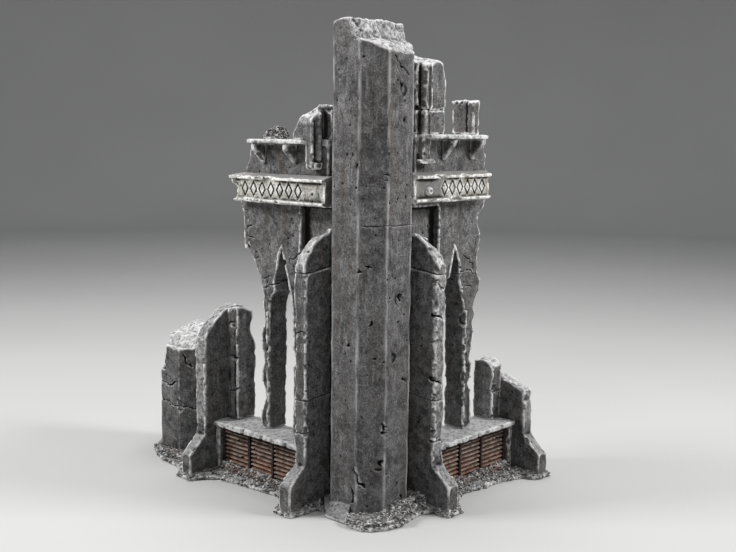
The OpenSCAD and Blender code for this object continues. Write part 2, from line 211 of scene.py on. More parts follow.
    def surface_cells(self, box=None, sharper=None, upward=False):
        """Where the surface passes: the points, in millimetres, and its outward normals."""
        near = np.abs(self.d) < 0.6 * self.voxel
        if box is not None:
            for axis, (a, b) in enumerate(box):
                inside = (self.axes[axis] >= min(a, b)) & (self.axes[axis] <= max(a, b))
                near &= inside.reshape([-1 if k == axis else 1 for k in range(3)])
        if sharper is not None:
            near &= self.convexity(0.9) > sharper
        cells = np.argwhere(near)
        cells = cells[((cells > 0) & (cells < self.shape - 1)).all(1)]
        i, j, k = cells.T
        soft = blurred(self.d, max(1, round(0.9 / self.voxel)))
        normals = np.stack([soft[i + 1, j, k] - soft[i - 1, j, k],
                            soft[i, j + 1, k] - soft[i, j - 1, k],
                            soft[i, j, k + 1] - soft[i, j, k - 1]], 1)
        normals /= np.maximum(np.linalg.norm(normals, axis=1), 1e-6)[:, None]
        if upward:
            cells, normals = cells[normals[:, 2] > 0.5], normals[normals[:, 2] > 0.5]
        return (cells + self.first) * self.voxel, normals

    def flake(self, at, normal, size, depth, tilt=0.15):
        """Splits a shallow flake off the surface at a point: an angular scoop with a flat bottom."""
        cells, shape = self.lump(at + normal * size * 0.8, size, sides=14, offset_range=(0.86, 1.0))
        if cells is None:
            return
        face = normal + self.random.normal(size=3) * tilt
        face /= np.linalg.norm(face)
        x, y, z = (self.axes[a][cells[a]].astype(np.float32) - np.float32(at[a]) for a in range(3))
        above = face[0] * x[:, None, None] + face[1] * y[None, :, None] + face[2] * z[None, None, :]
        shape = np.maximum(shape, -above - np.float32(depth)).astype(np.float32)
        self.d[cells] = np.maximum(self.d[cells], -shape)

    def chip(self, per_mm, size, box=None, sharper=0.2, depth=0.14):
        """Flakes off sharp edges, or anywhere where sharper is None. size is (smallest, largest)."""
        points, normals = self.surface_cells(box, sharper)
        if not len(points):
            return
        if sharper is None:
            count = int(per_mm * len(points) * self.voxel ** 2)
        else:
            count = int(per_mm * len(points) * self.voxel / 3)
        picks = self.random.integers(0, len(points), count)
        sizes = size[0] + (size[1] - size[0]) * self.random.uniform(0, 1, count) ** 2.2
        for pick, s in zip(picks, sizes):
            self.flake(points[pick], normals[pick], s, s * depth * self.random.uniform(0.5, 1.2))

    def pit(self, per_mm2, size, box=None):
        """Small round holes."""
        points, normals = self.surface_cells(box)
        if not len(points):
            return
        count = int(per_mm2 * len(points) * self.voxel ** 2)
        picks = self.random.integers(0, len(points), count)
        sizes = size[0] + (size[1] - size[0]) * self.random.uniform(0, 1, count) ** 3
        for pick, s in zip(picks, sizes):
            cells, (x, y, z) = self.window(points[pick], s * 1.4)
            if cells is None:
                continue
            cx, cy, cz = points[pick] + normals[pick] * s * 0.25
            ball = np.sqrt((x - cx) ** 2 + (y - cy) ** 2 + (z - cz) ** 2) - s
            self.d[cells] = np.maximum(self.d[cells], -ball.astype(np.float32))

    def wander(self, route, step=1.5, amount=0.14):
        """route with jagged points put in between its own."""
        points = [np.array(p, float) for p in route]
        while max(np.linalg.norm(b - a) for a, b in zip(points, points[1:])) > step:
            finer = [points[0]]
            for a, b in zip(points, points[1:]):
                shift = self.random.normal(size=3) * amount * np.linalg.norm(b - a)
                finer += [(a + b) / 2 + shift, b]
            points = finer
        return points

    def along(self, a, b, reach, normal=None):
        """Cells near the line from a to b, and how far each is from it, leaving out the normal."""
        cells, at = self.window((a + b) / 2, np.linalg.norm(b - a) / 2 + reach)
        if cells is None:
            return None, None
        line = b - a
        offset = [at[k] - a[k] for k in range(3)]
        if normal is not None:
            high = sum(offset[k] * normal[k] for k in range(3))
            offset = [offset[k] - high * normal[k] for k in range(3)]
            line = line - np.dot(line, normal) * normal
        share = np.clip(sum(offset[k] * line[k] for k in range(3)) / max(np.dot(line, line), 1e-6), 0, 1)
        return cells, np.sqrt(sum((offset[k] - share * line[k]) ** 2 for k in range(3))).astype(np.float32)

    def crack(self, route, normal, width=0.5, depth=1.0):
        """A thin jagged crack along a route on a face with that outward normal."""
        normal = unit(normal)
        points = self.wander(route)
        for i, (a, b) in enumerate(zip(points, points[1:])):
            cells, away = self.along(a, b, depth + 1.0, normal)
            if cells is None:
                continue
            half = width * self.random.uniform(0.35, 0.65)
            old = self.d[cells]
            self.d[cells] = np.maximum(old, np.minimum(np.float32(half) - away, old + np.float32(depth)))

    def ridge(self, route, radius, amount=0.03):
        """A half-round bead along a route on the surface."""
        points = self.wander(route, 3.0, amount)
        for a, b in zip(points, points[1:]):
            cells, away = self.along(a, b, radius + 1.0)
            if cells is not None:
                self.d[cells] = np.minimum(self.d[cells], away - np.float32(radius))

    def seam(self, level, width=0.34, depth=1.2, wave=0.18, closed=None):
        """A thin joint where level(x, y, z) is zero, slightly wavy, and filled where closed is 1."""
        distance = level(*self.spread())
        distance = distance + wave * self.noise(5, 9) + 0.5 * wave * self.noise(2, 4)
        half = np.float32(width / 2) if closed is None else width * (0.5 - 1.2 * closed)
        cut = np.minimum(half - np.abs(distance), self.d + np.float32(depth))
        self.d = np.maximum(self.d, cut.astype(np.float32))

    def creases(self, period, salt):
        """Noise from -1 to 1 with sharp ridges."""
        return 1 - 2 * np.abs(self.noise(period, salt))

    def fracture(self, weight, coarse=0.6, fine=0.25, salt=6, sharp=0.5):
        """Breaks faces up where weight is above 0, and remembers where for the paint."""
        rough = coarse * (0.7 * sharp + self.noise(5.2, salt) - sharp * self.creases(2.6, salt + 2))
        rough = rough - fine * self.creases(1.2, salt + 4) + 0.4 * fine * self.noise(0.8, salt + 1)
        self.d += (weight * rough).astype(np.float32)
        self.broken = np.maximum(self.broken, np.broadcast_to(weight, self.shape).astype(np.float32))

    def break_off(self, point, normal, coarse=0.5, fine=0.25, salt=2):
        """Breaks away everything outside a plane, and leaves it rough."""
        normal = unit(normal)
        x, y, z = (at - np.float32(p) for at, p in zip(self.spread(), point))
        plane = normal[0] * x + normal[1] * y + normal[2] * z
        rough = coarse * (self.noise(5.2, salt) - 0.2 * self.creases(2.8, salt + 2))
        plane = plane + rough - fine * self.creases(1.2, salt + 4)
        self.d = np.maximum(self.d, plane.astype(np.float32))
        self.broken = np.maximum(self.broken, np.clip(1.3 - np.abs(plane), 0, 1).astype(np.float32))

    def cut_back(self, point, normal, ledge, rough=0.3):
        """Takes away what lies outside a rough plane and above ledge(x, y, z)."""
        normal = unit(normal)
        x, y, z = self.spread()
        plane = normal[0] * (x - point[0]) + normal[1] * (y - point[1]) + normal[2] * (z - point[2])
        plane = plane + rough * (self.noise(5.0, 8) + 0.4 * self.noise(1.8, 9))
        ledge = ledge(x, y, z) + rough * (1.6 * self.noise(6.0, 5) + 0.6 * self.noise(2.2, 7))
        self.d = np.maximum(self.d, np.minimum(plane, ledge).astype(np.float32))

    def spall(self, at, normal, size):
        """A deep star-shaped chip with short cracks running out of it."""
        at, normal = np.array(at, float), unit(normal)
        self.bite(at + normal * size * 0.25, size * 0.8)
        self.flake(at + (0, 0, -0.7 * size), normal, size * 1.8, size * 0.3)
        for _ in range(3):
            way = self.random.normal(size=3)
            way -= np.dot(way, normal) * normal
            way *= size * self.random.uniform(0.9, 1.7) / np.linalg.norm(way)
            self.crack([at, at + way], normal, 0.45, 0.6)

    def extend_down(self, level, floor):
        """Carries the outline found at a height straight down to a floor."""
        z = self.axes[2]
        source = int(np.argmin(np.abs(z - level)))
        self.d[:, :, :source] = self.d[:, :, source:source + 1]
        self.d = np.maximum(self.d, (floor - z).astype(np.float32)[None, None, :])

    def inside(self, box, soft=1.2):
        """1 inside a box, falling to 0 outside it."""
        weight = np.ones((1, 1, 1), np.float32)
        for axis, (low, high) in enumerate(box):
            line = self.axes[axis]
            line = np.clip(np.minimum(line - low, high - line) / soft + 1, 0, 1).astype(np.float32)
            weight = weight * line.reshape([-1 if a == axis else 1 for a in range(3)])
        return weight

    def fill(self, box):
        """Makes a box solid."""
        gap = np.full(self.shape, -1e3, np.float32)
        for axis, (low, high) in enumerate(box):
            line = np.maximum(low - self.axes[axis], self.axes[axis] - high).astype(np.float32)
            gap = np.maximum(gap, line.reshape([-1 if a == axis else 1 for a in range(3)]))
        self.d = np.minimum(self.d, gap)

    def groove(self, centre, reach, shape):
        """Takes away what lies inside shape(x, y, z), near centre."""
        cells, at = self.window(centre, reach)
        if cells is not None:
            self.d[cells] = np.maximum(self.d[cells], -shape(*at).astype(np.float32))


def sampled(field, values, points):
    """values of a field's grid at points, in between its cells."""
    u = points / field.voxel - field.first
    u = np.clip(u, 0, np.array(field.shape) - 1.001)
    low = np.floor(u).astype(int)
    t = (u - low).astype(np.float32)
    out = np.zeros(len(points), np.float32)
    for corner in range(8):
        step = np.array([corner >> 2 & 1, corner >> 1 & 1, corner & 1])
        share = np.prod(np.where(step, t, 1 - t), axis=1)
        i, j, k = (low + step).T
        out += share * values[i, j, k]
    return out


# ---- Meshes ----

def new_mesh(name, points, faces, values=None, smooth=True):
    """A mesh in metres from points in millimetres. faces is an array of triangles or quads."""
    mesh = bpy.data.meshes.new(name)
    corners = faces.shape[1]
    mesh.vertices.add(len(points))
    mesh.vertices.foreach_set("co", (np.asarray(points, np.float64) * MM).astype(np.float32).ravel())
    mesh.loops.add(faces.size)
    mesh.loops.foreach_set("vertex_index", faces.astype(np.int32).ravel())
    mesh.polygons.add(len(faces))
    mesh.polygons.foreach_set("loop_start", np.arange(len(faces), dtype=np.int32) * corners)
    mesh.polygons.foreach_set("loop_total", np.full(len(faces), corners, np.int32))
    mesh.update(calc_edges=True)
    mesh.polygons.foreach_set("use_smooth", np.full(len(faces), smooth))
    for key, array in (values or {}).items():
        mesh.attributes.new(key, "FLOAT", "POINT").data.foreach_set("value", array.astype(np.float32))
    return mesh


def islands(count, links):
    """A number for each of count points, the same for all points that links join."""
    label = np.arange(count)
    while True:
        low = label[links].min(axis=1)
        joined = label.copy()
        np.minimum.at(joined, label[links[:, 0]], low)
        np.minimum.at(joined, label[links[:, 1]], low)
        joined = joined[joined]
        if np.array_equal(joined, label):
            return label
        label = joined


def crumbs(count, links, least=90):
    """Which of count points belong to a loose speck of fewer than least points."""
    label = islands(count, links)
    return np.bincount(label, minlength=count)[label] < least


def without_crumbs(points, quads):
    """A surface without the loose specks that wear leaves behind."""
    links = np.concatenate([quads[:, [0, 1]], quads[:, [1, 2]], quads[:, [2, 3]]])
    loose = crumbs(len(points), links)
    kept = np.cumsum(~loose) - 1
    return points[~loose], kept[quads[~loose[quads[:, 0]]]]


def worn_mesh(name, field, rib=None):
    """The field's surface, with how sharp ("edge") and how sunken ("deep") it is at each point.

    rib(points), where given, tells how near each point is to a rib that is brushed lighter.
    """
    points, quads = without_crumbs(*field.surface())
    field.d = field.distances(points, quads=quads)
    fine = sampled(field, field.convexity(0.55), points)
    broad = sampled(field, field.convexity(1.7), points)
    edge = np.clip(1.1 * fine + 1.3 * broad, 0, 1)
    deep = np.clip(-1.5 * fine - 2.0 * broad, 0, 1)
    broken = sampled(field, np.broadcast_to(field.broken, field.shape), points)
    values = {"edge": edge, "deep": deep, "broken": broken}
    if rib is not None:
        values["rib"] = rib(points)
    return new_mesh(name, points, quads, values)


def piece(node, mesh, material):
    """A worn mesh as the piece that stands for a CAD node."""
    obj = bpy.data.objects.new("worn_" + node, mesh)
    bpy.context.scene.collection.objects.link(obj)
    mesh.materials.append(material)
    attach(obj, "root")
    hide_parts(node)


def split_mesh(mesh, name, planes):
    """The part of mesh on the inner side of every plane, closed. A plane is (point, outward normal)."""
    work = bmesh.new()
    work.from_mesh(mesh)
    for point, normal in planes:
        found = work.verts[:] + work.edges[:] + work.faces[:]
        cut = bmesh.ops.bisect_plane(work, geom=found, plane_co=[c * MM for c in point],
                                     plane_no=normal, clear_outer=True, dist=1e-7)
        rim = [e for e in cut["geom_cut"] if isinstance(e, bmesh.types.BMEdge) and e.is_boundary]
        if rim:
            bmesh.ops.holes_fill(work, edges=rim, sides=0)
            for e in rim:
                e.smooth = False
    work.verts.index_update()
    links = np.array([[v.index for v in e.verts] for e in work.edges])
    loose = crumbs(len(work.verts), links)
    bmesh.ops.delete(work, geom=[v for v, gone in zip(work.verts, loose) if gone], context="VERTS")
    inner = bpy.data.meshes.new(name)
    work.to_mesh(inner)
    work.free()
    return inner


def part(whole, material, parts):
    """Parts a mesh that was worn as one into its pieces. parts are (node, planes that bound it)."""
    for node, planes in parts:
        piece(node, split_mesh(whole, node, planes), material)
    bpy.data.meshes.remove(whole)


# ---- Materials ----

def linear(*levels):
    """A colour given by its 0 to 255 levels on a screen."""
    return tuple(((v / 255) / 12.92 if v / 255 <= 0.04045 else ((v / 255 + 0.055) / 1.055) ** 2.4)
                 for v in levels) + (1.0,)


class Paint:
    """Builds one material's nodes. Distances are in millimetres."""

    def __init__(self, name):
        self.material = bpy.data.materials.new(name)
        self.material.use_nodes = True
        self.tree = self.material.node_tree
        self.shader = self.tree.nodes["Principled BSDF"]
        self.where = self.tree.nodes.new("ShaderNodeTexCoord").outputs["Object"]

    def put(self, value, socket):
        """Links a node's output to a socket, or sets the socket to a number or colour."""
        if isinstance(value, bpy.types.NodeSocket):
            self.tree.links.new(value, socket)
        else:
            socket.default_value = value

    def noise(self, period, detail=4.0, stretch=(1, 1, 1), rough=0.55, offset=0.0):
        """Cloudy noise from 0 to 1, period apart and drawn out along each axis by stretch."""
        mapping = self.tree.nodes.new("ShaderNodeMapping")
        mapping.inputs["Location"].default_value = (offset, offset * 0.7, -offset)
        mapping.inputs["Scale"].default_value = [1 / (period * MM * s) for s in stretch]
        self.put(self.where, mapping.inputs["Vector"])
        node = self.tree.nodes.new("ShaderNodeTexNoise")
        node.inputs["Scale"].default_value = 1.0
        node.inputs["Detail"].default_value = detail
        node.inputs["Roughness"].default_value = rough
        self.put(mapping.outputs[0], node.inputs["Vector"])
        return node.outputs["Fac"]

    def cells(self, period, offset=0.0):
        """The distance to the nearest of random points that are about period apart."""
        mapping = self.tree.nodes.new("ShaderNodeMapping")
        mapping.inputs["Location"].default_value = (offset, offset, offset)
        mapping.inputs["Scale"].default_value = [1 / (period * MM)] * 3
        self.put(self.where, mapping.inputs["Vector"])
        node = self.tree.nodes.new("ShaderNodeTexVoronoi")
        node.inputs["Scale"].default_value = 1.0
        self.put(mapping.outputs[0], node.inputs["Vector"])
        return node.outputs["Distance"]

    def attribute(self, name):
        """A value that worn_mesh stored at each point, 0 where it stored none."""
        node = self.tree.nodes.new("ShaderNodeAttribute")
        node.attribute_name = name
        return node.outputs["Fac"]

    def normal(self, name):
        """How much the surface faces along an axis, -1 to 1."""
        geometry = self.tree.nodes.new("ShaderNodeNewGeometry")
        parts = self.tree.nodes.new("ShaderNodeSeparateXYZ")
        self.put(geometry.outputs["Normal"], parts.inputs[0])
        return parts.outputs[name]

    def axis(self, name):
        """The place along an axis, in metres."""
        parts = self.tree.nodes.new("ShaderNodeSeparateXYZ")
        self.put(self.where, parts.inputs[0])
        return parts.outputs[name]

    def band(self, value, low, high, out_low=0.0, out_high=1.0):
        """value from low to high, taken smoothly to out_low to out_high."""
        node = self.tree.nodes.new("ShaderNodeMapRange")
        node.interpolation_type = "SMOOTHSTEP"
        for key, number in (("From Min", low), ("From Max", high), ("To Min", out_low), ("To Max", out_high)):
            node.inputs[key].default_value = number
        self.put(value, node.inputs["Value"])
        return node.outputs["Result"]

    def math(self, operation, a, b=0.0):
        node = self.tree.nodes.new("ShaderNodeMath")
        node.operation = operation
        self.put(a, node.inputs[0])
        self.put(b, node.inputs[1])
        return node.outputs[0]

    def times(self, a, b):
        return self.math("MULTIPLY", a, b)

    def darken(self, colour, factor):
        """colour times a factor that may be over 1."""
        grey = self.tree.nodes.new("ShaderNodeCombineXYZ")
        for socket in grey.inputs:
            self.put(factor, socket)
        return self.mix(1.0, colour, grey.outputs[0], "MULTIPLY")

    def mix(self, share, a, b, how="MIX"):
        node = self.tree.nodes.new("ShaderNodeMix")
        node.data_type = "RGBA"
        node.blend_type = how
        self.put(share, node.inputs["Factor"])
        self.put(a, [s for s in node.inputs if s.name == "A" and s.type == "RGBA"][0])
        self.put(b, [s for s in node.inputs if s.name == "B" and s.type == "RGBA"][0])
        return [s for s in node.outputs if s.type == "RGBA"][0]

    def finish(self, colour, roughness, height=None, strength=0.5, specular=0.25, metallic=0.0):
        """Connects the shader, with height as a fine bump, and gives back the material."""
        self.put(colour, self.shader.inputs["Base Color"])
        self.put(roughness, self.shader.inputs["Roughness"])
        self.shader.inputs["Specular IOR Level"].default_value = specular
        self.shader.inputs["Metallic"].default_value = metallic
        if height is not None:
            bump = self.tree.nodes.new("ShaderNodeBump")
            bump.inputs["Strength"].default_value = strength
            bump.inputs["Distance"].default_value = 0.25 * MM
            self.put(height, bump.inputs["Height"])
            self.put(bump.outputs["Normal"], self.shader.inputs["Normal"])
        return self.material


def dry_brushed(name, dark, middle, light, wash_and_shade, edge_light, edge_range=(0.2, 0.55), edge_share=0.85,
                stain=None, stain_share=0.4, dust_and_top_light=0.45, strokes=0.4, roughness=0.88, low_tint=None,
                near_end_tint=None, stippling=0.22, mottling=0.75, ribbing=0.3, facing_tones_and_shadow=()):
    """Matt paint: mottled, washed dark with painted shade in its hollows and brushed light over its edges
    and tops, the tops also with painted top light, and painted darker towards the bottom as shade.

    dark, middle and light are the mottled coat, wash is the colour of dark blots and of what is washed
    and painted as shade into hollows and pits, and edge_light what is brushed over edges. low_tint is
    (colour, upper and lower height where it fades in), near_end_tint is (colour, near and far distance along
    the wing) for a darker grey over the board's end nearest the column, and shades are (axis, share,
    colour) for the faces that look along an axis: a tone of the coat, or painted shadow on faces in shade.
    """
    p = Paint(name)
    # The coat: large patches, mottle and dark blots.
    patches = p.band(p.noise(15, 5, rough=0.62), 0.36, 0.64)
    mottle = p.band(p.noise(3.6, 7, rough=0.72, offset=4.0), 0.4, 0.62)
    grain = p.noise(0.6, 3, offset=9.0)
    colour = p.mix(patches, dark, middle)
    colour = p.mix(p.times(mottle, mottling), colour, light)
    blots = p.band(p.noise(2.3, 6, rough=0.7, offset=27.0), 0.54, 0.68)
    colour = p.mix(p.times(blots, 0.5), colour, wash_and_shade)
    # Brush strokes down upright faces, stains that run down, and stippling.
    upright = p.band(p.math("ABSOLUTE", p.normal("Z")), 0.5, 0.2)
    streaks = p.band(p.noise(1.15, 5, stretch=(1, 1, 9), rough=0.68, offset=12.0), 0.44, 0.74)
    brushed = p.band(p.noise(7, 5, stretch=(1, 1, 2), rough=0.6, offset=21.0), 0.4, 0.68)
    brushed = p.times(p.times(streaks, brushed), upright)
    colour = p.mix(p.times(brushed, strokes), colour, edge_light)
    if stain is not None:
        runs = p.band(p.noise(5.5, 5, stretch=(1, 1, 7), offset=2.0), 0.46, 0.7)
        colour = p.mix(p.times(runs, stain_share), colour, stain)
    if low_tint is not None:
        tint, high, low = low_tint
        low_down = p.band(p.axis("Z"), high * MM, low * MM)
        share = p.times(low_down, p.band(p.noise(6, 4, offset=40.0), 0.35, 0.6))
        colour = p.mix(share, colour, tint)
    stipple = p.band(p.noise(0.85, 4, rough=0.75, offset=71.0), 0.54, 0.66)
    stipple = p.times(stipple, p.band(p.noise(5.5, 4, rough=0.6, offset=73.0), 0.42, 0.6, 0.15, 1.0))
    colour = p.mix(p.times(stipple, stippling), colour, edge_light)
    colour = p.darken(colour, p.band(grain, 0.32, 0.7, 0.6, 1.28))
    # Small pits: a dent in the bump, washed dark with painted shade inside.
    pits = p.times(p.band(p.cells(1.9, 3.0), 0.2, 0.1), p.band(p.noise(5, 3, offset=31.0), 0.47, 0.6))
    colour = p.mix(p.times(pits, 0.8), colour, wash_and_shade)
    # Painted top light and dusting on what faces up: the tops brushed lighter as if lit from above.
    scuffed = p.band(p.noise(1.5, 5, rough=0.7, offset=6.0), 0.34, 0.6, 0.1, 1.0)
    up = p.times(p.band(p.normal("Z"), 0.2, 0.85), scuffed)
    colour = p.mix(p.times(up, dust_and_top_light), colour, edge_light)
    # A darker grey mixed over the board's end nearest the column.
    if near_end_tint is not None:
        tint, near, far = near_end_tint
        along = p.math("SUBTRACT", p.axis("Y"), p.axis("X"))
        colour = p.mix(p.times(p.band(along, far * MM, near * MM), 0.8), colour, tint)
    # Ribs and broken faces, brushed lighter.
    worn_rib = p.band(p.noise(2.2, 5, stretch=(1, 1, 7), offset=51.0), 0.4, 0.62)
    rib = p.times(p.attribute("rib"), worn_rib)
    colour = p.mix(p.times(rib, ribbing), colour, edge_light)
    rough_face = p.times(p.attribute("broken"), scuffed)
    torn = p.band(p.noise(2.4, 6, rough=0.7, offset=61.0), 0.38, 0.6, 0.2, 1.0)
    colour = p.mix(p.times(p.times(rough_face, torn), 0.8), colour, edge_light)
    # Hollows washed dark with painted shade, then light paint brushed on the edges.
    deep = p.band(p.attribute("deep"), 0.03, 0.42)
    open_face = p.math("SUBTRACT", 0.92, p.times(p.attribute("broken"), 0.5))
    colour = p.mix(p.times(deep, open_face), colour, wash_and_shade)
    gaps = p.band(p.noise(3.2, 5, rough=0.65, offset=16.0), 0.36, 0.6, 0.12, 1.0)
    edge = p.times(p.band(p.attribute("edge"), *edge_range), edge_share)
    colour = p.mix(p.times(edge, gaps), colour, edge_light)
    # Faces that look along an axis get another colour: a tone of the coat, or painted shadow where they lie
    # in shade.
    for name, share, facing_colour in facing_tones_and_shadow:
        facing = p.times(p.band(p.normal(name), 0.6, 0.85), share)
        colour = p.mix(facing, colour, facing_colour)
    # Painted shade: darker towards the bottom and a little lighter towards the top, as the light falls off
    # downwards.
    colour = p.darken(colour, p.band(p.axis("Z"), 0.0, 0.13, 0.84, 1.1))
    height = p.math("ADD", p.times(grain, 0.7), p.noise(1.7, 5, rough=0.65, offset=1.0))
    height = p.math("SUBTRACT", height, pits)
    return p.finish(colour, roughness, height, 0.6)


dark_stone = dry_brushed("dark_stone", linear(60, 59, 60), linear(90, 89, 89), linear(124, 123, 123),
                         linear(16, 14, 13), linear(222, 221, 221), edge_range=(0.24, 0.6), edge_share=0.95,
                         stain=linear(78, 68, 57), strokes=0.22)
column_stone = dry_brushed("column_stone", linear(62, 61, 62), linear(94, 93, 93), linear(130, 129, 130),
                           linear(16, 14, 13), linear(206, 205, 206), edge_range=(0.36, 0.75),
                           edge_share=0.75, stain=linear(80, 70, 58), strokes=0.3, mottling=0.5, ribbing=0.5)
pale_stone = dry_brushed("pale_stone", linear(82, 82, 82), linear(112, 112, 112), linear(142, 142, 142),
                         linear(26, 23, 21), linear(220, 220, 219), edge_range=(0.1, 0.38), dust_and_top_light=0.55)
# The left board's ends that look along X, towards the column, get painted shadow; its tops get a darker grey
# coat.
pale_board = dry_brushed("pale_board", linear(128, 126, 119), linear(168, 166, 158), linear(206, 204, 198),
                         linear(30, 22, 15), linear(246, 245, 242), edge_range=(0.12, 0.4),
                         stain=linear(92, 74, 50), stain_share=0.5, dust_and_top_light=0.6, strokes=0.6,
                         facing_tones_and_shadow=[("X", 0.8, linear(52, 51, 50)), ("Z", 0.8, linear(118, 117, 116))])
pale_board_right = dry_brushed("pale_board_right", linear(122, 119, 111), linear(160, 157, 148),
                               linear(200, 198, 190), linear(30, 22, 15), linear(246, 245, 242),
                               edge_range=(0.12, 0.4), stain=linear(92, 74, 50), stain_share=0.5, dust_and_top_light=0.6,
                               strokes=0.6, near_end_tint=(linear(104, 103, 102), 8, 16),
                               facing_tones_and_shadow=[("Z", 0.8, linear(106, 105, 104))])
rusty_metal = dry_brushed("rusty_metal", linear(32, 25, 21), linear(51, 39, 33), linear(74, 60, 53),
                          linear(8, 6, 5), linear(170, 150, 138), edge_range=(0.3, 0.8),
                          stain=linear(112, 60, 36), stain_share=0.5, dust_and_top_light=0.2, roughness=0.8,
                          low_tint=(linear(120, 66, 42), 16, 6), stippling=0.12)
black_metal = dry_brushed("black_metal", linear(24, 19, 17), linear(36, 29, 26), linear(52, 43, 38),
                          linear(6, 5, 4), linear(110, 96, 88), edge_range=(0.5, 0.95), edge_share=0.5,
                          stain=linear(60, 36, 24), stain_share=0.4, dust_and_top_light=0.1, roughness=0.8)
grit = dry_brushed("grit", linear(32, 30, 29), linear(56, 54, 53), linear(90, 88, 87),
                   linear(5, 4, 4), linear(232, 231, 230), edge_range=(0.18, 0.6), edge_share=0.9, dust_and_top_light=0.3)
rusty_grit = dry_brushed("rusty_grit", linear(36, 31, 28), linear(60, 53, 49), linear(92, 87, 84),
                         linear(5, 4, 4), linear(228, 225, 222), edge_range=(0.18, 0.6), edge_share=0.85,
                         stain=linear(110, 62, 38), stain_share=0.6, dust_and_top_light=0.3)


# ---- Shapes of each wing ----

def on_left(s, p, z):
    """A place s along the left wing, p outwards and z up, in the part's frame."""
    return (-s, -p, z)


def on_right(s, p, z):
    """The same on the right wing."""
    return (p, s, z)


def wing_box(place, s, p, z):
    """The box from s[0] to s[1] along a wing, p[0] to p[1] outwards and z[0] to z[1] up."""
    a, b = place(s[0], p[0], z[0]), place(s[1], p[1], z[1])
    return [(min(u, v), max(u, v)) for u, v in zip(a, b)]


SUNK_BOTTOM = 1.6  # how low the column and the banks of grit reach, into the worn ground
BUTTRESS_BOTTOM = 1.2
UP = (0, 0, 1)
DOWN = (0, 0, -1)
ARCH_SPRING = 80  # heights of the joints of a window wall
LINTEL_BOTTOM = 123.5
FRIEZE_BOTTOM = 137
END_LEDGE = 20  # the joint of an outer buttress and its foot
WALL_FACE = 9.5  # how far out the front of a window wall is
# Bumps of a surface, as (distance apart, height).
STONE_BUMPS = [(9, 0.16), (3.6, 0.12), (1.7, 0.08), (0.95, 0.05)]
SMOOTH_BUMPS = [(11, 0.16), (4.4, 0.12), (2.1, 0.09), (1.15, 0.05)]


def wear(field, bumps, salt, edges=0.4, chips=0.16, chip_size=(0.7, 3.6), pits=0.02, broken=()):
    """The usual wear of a stone: soft edges, broken stretches, chips, bumps and pits."""
    field.round_edges(0.8, edges, salt=salt)
    for box, per_mm, size in broken:
        field.chip(per_mm, size, box, sharper=0.16, depth=0.2)
    field.chip(chips, chip_size)
    field.roughen(bumps, salt)
    if pits:
        field.pit(pits, (0.28, 0.7))
    return field


def break_head(field, height, depth=2.0, coarse=0.6, fine=0.3, sharp=0.5):
    """Breaks up the faces that look upwards above a height."""
    rise = np.gradient(blurred(field.d, 2), field.voxel, axis=2)
    up = np.clip((rise - 0.15) / 0.35, 0, 1)
    above = np.clip((field.axes[2] - height) / depth, 0, 1)[None, None, :]
    field.fracture(up * above, coarse, fine, sharp=sharp)


def plain_piece(node, material, slot, voxel, seed, head=None, fills=(), shafts=(), cracks=(), breaks=(),
                rough=(), cut=None, bumps=STONE_BUMPS, **how):
    """One CAD node worn on its own.

    Above the height head it is broken up. fills are boxes that are made solid, shafts are half-round
    rods as (start, end, radius), cracks are (route, outward direction), and breaks are planes as
    (point, outward direction). rough are boxes whose faces are broken up. cut is a plane and the
    height that it stops at.
    """
    field = Field([node], voxel, seed)
    for box in fills:
        field.fill(box)
    for start, end, radius in shafts:
        field.ridge([start, end], radius, 0.0)
    if head is not None:
        break_head(field, head, coarse=0.9, fine=0.1, sharp=0.12)
    for box in rough:
        field.fracture(0.9 * field.inside(box), 0.8, 0.2, 3, sharp=0.3)
    for point, normal in breaks:
        field.break_off(point, normal, 0.7, 0.12)
    if cut is not None:
        point, normal, floor = cut
        field.cut_back(point, normal, lambda x, y, z: z - floor + 0 * x * y, rough=0.8)
    for route, normal in cracks:
        field.crack(route, normal, 0.55, 1.3)
    wear(field, bumps, seed % 13, **how)
    piece(node, worn_mesh(node, field), material)


COLUMN_HALF = 15.0  # from the column's middle to its flats
COLUMN_DIAGONAL = 15.56  # and to the four faces that cut off its corners
RIB_WIDTH = 0.75
DRUM_JOINT = 117.5
# Where the column is spalled: (place, outward direction, size).
COLUMN_SPALLS = [
    ((15, 0.5, 170.5), (1, 0, 0), 1.8), ((15, 2, 158), (1, 0, 0), 1.2), ((15, 1, 89.5), (1, 0, 0), 1.9),
    ((15, -3, 67), (1, 0, 0), 1.6), ((15, 3.5, 56), (1, 0, 0), 1.3), ((15, -6.8, 145), (1, -0.5, 0), 1.0),
    ((15, -6.9, 137), (1, -0.5, 0), 1.2), ((15, -6.9, 135), (1, -0.5, 0), 1.0),
    ((14.8, -7.2, 38.5), (1, -0.5, 0), 1.2), ((14.6, -7.4, 36), (1, -0.5, 0), 1.0),
    ((13.3, -8.7, 23.5), (1, -1, 0), 1.4), ((2, -15, 70.5), (0, -1, 0), 0.9),
    ((11, -11, 79.5), (1, -1, 0), 0.8), ((10, -12, 102), (1, -1, 0), 0.8),
    ((7.4, -14.6, 100), (0.4, -1, 0), 0.7), ((6.1, -15, 141), (0, -1, 0), 0.7),
]
# Its cracks: (route, outward direction).
COLUMN_CRACKS = [
    ([(2, -15, 195), (5, -15, 190), (9, -13, 188.5), (13, -9, 187)], (0.4, -1, 0)),
    ([(10, -15, 13), (7, -15, 19), (6, -15, 23)], (0, -1, 0)),
    ([(4.5, -15, 13), (4.8, -15, 7)], (0, -1, 0)),
    ([(15, 3, 8), (15, 5, 4), (15, 6, 0)], (1, 0, 0)),
    ([(15, -4, 182), (15, 2, 177), (15, 4, 175)], (1, 0, 0)),
]


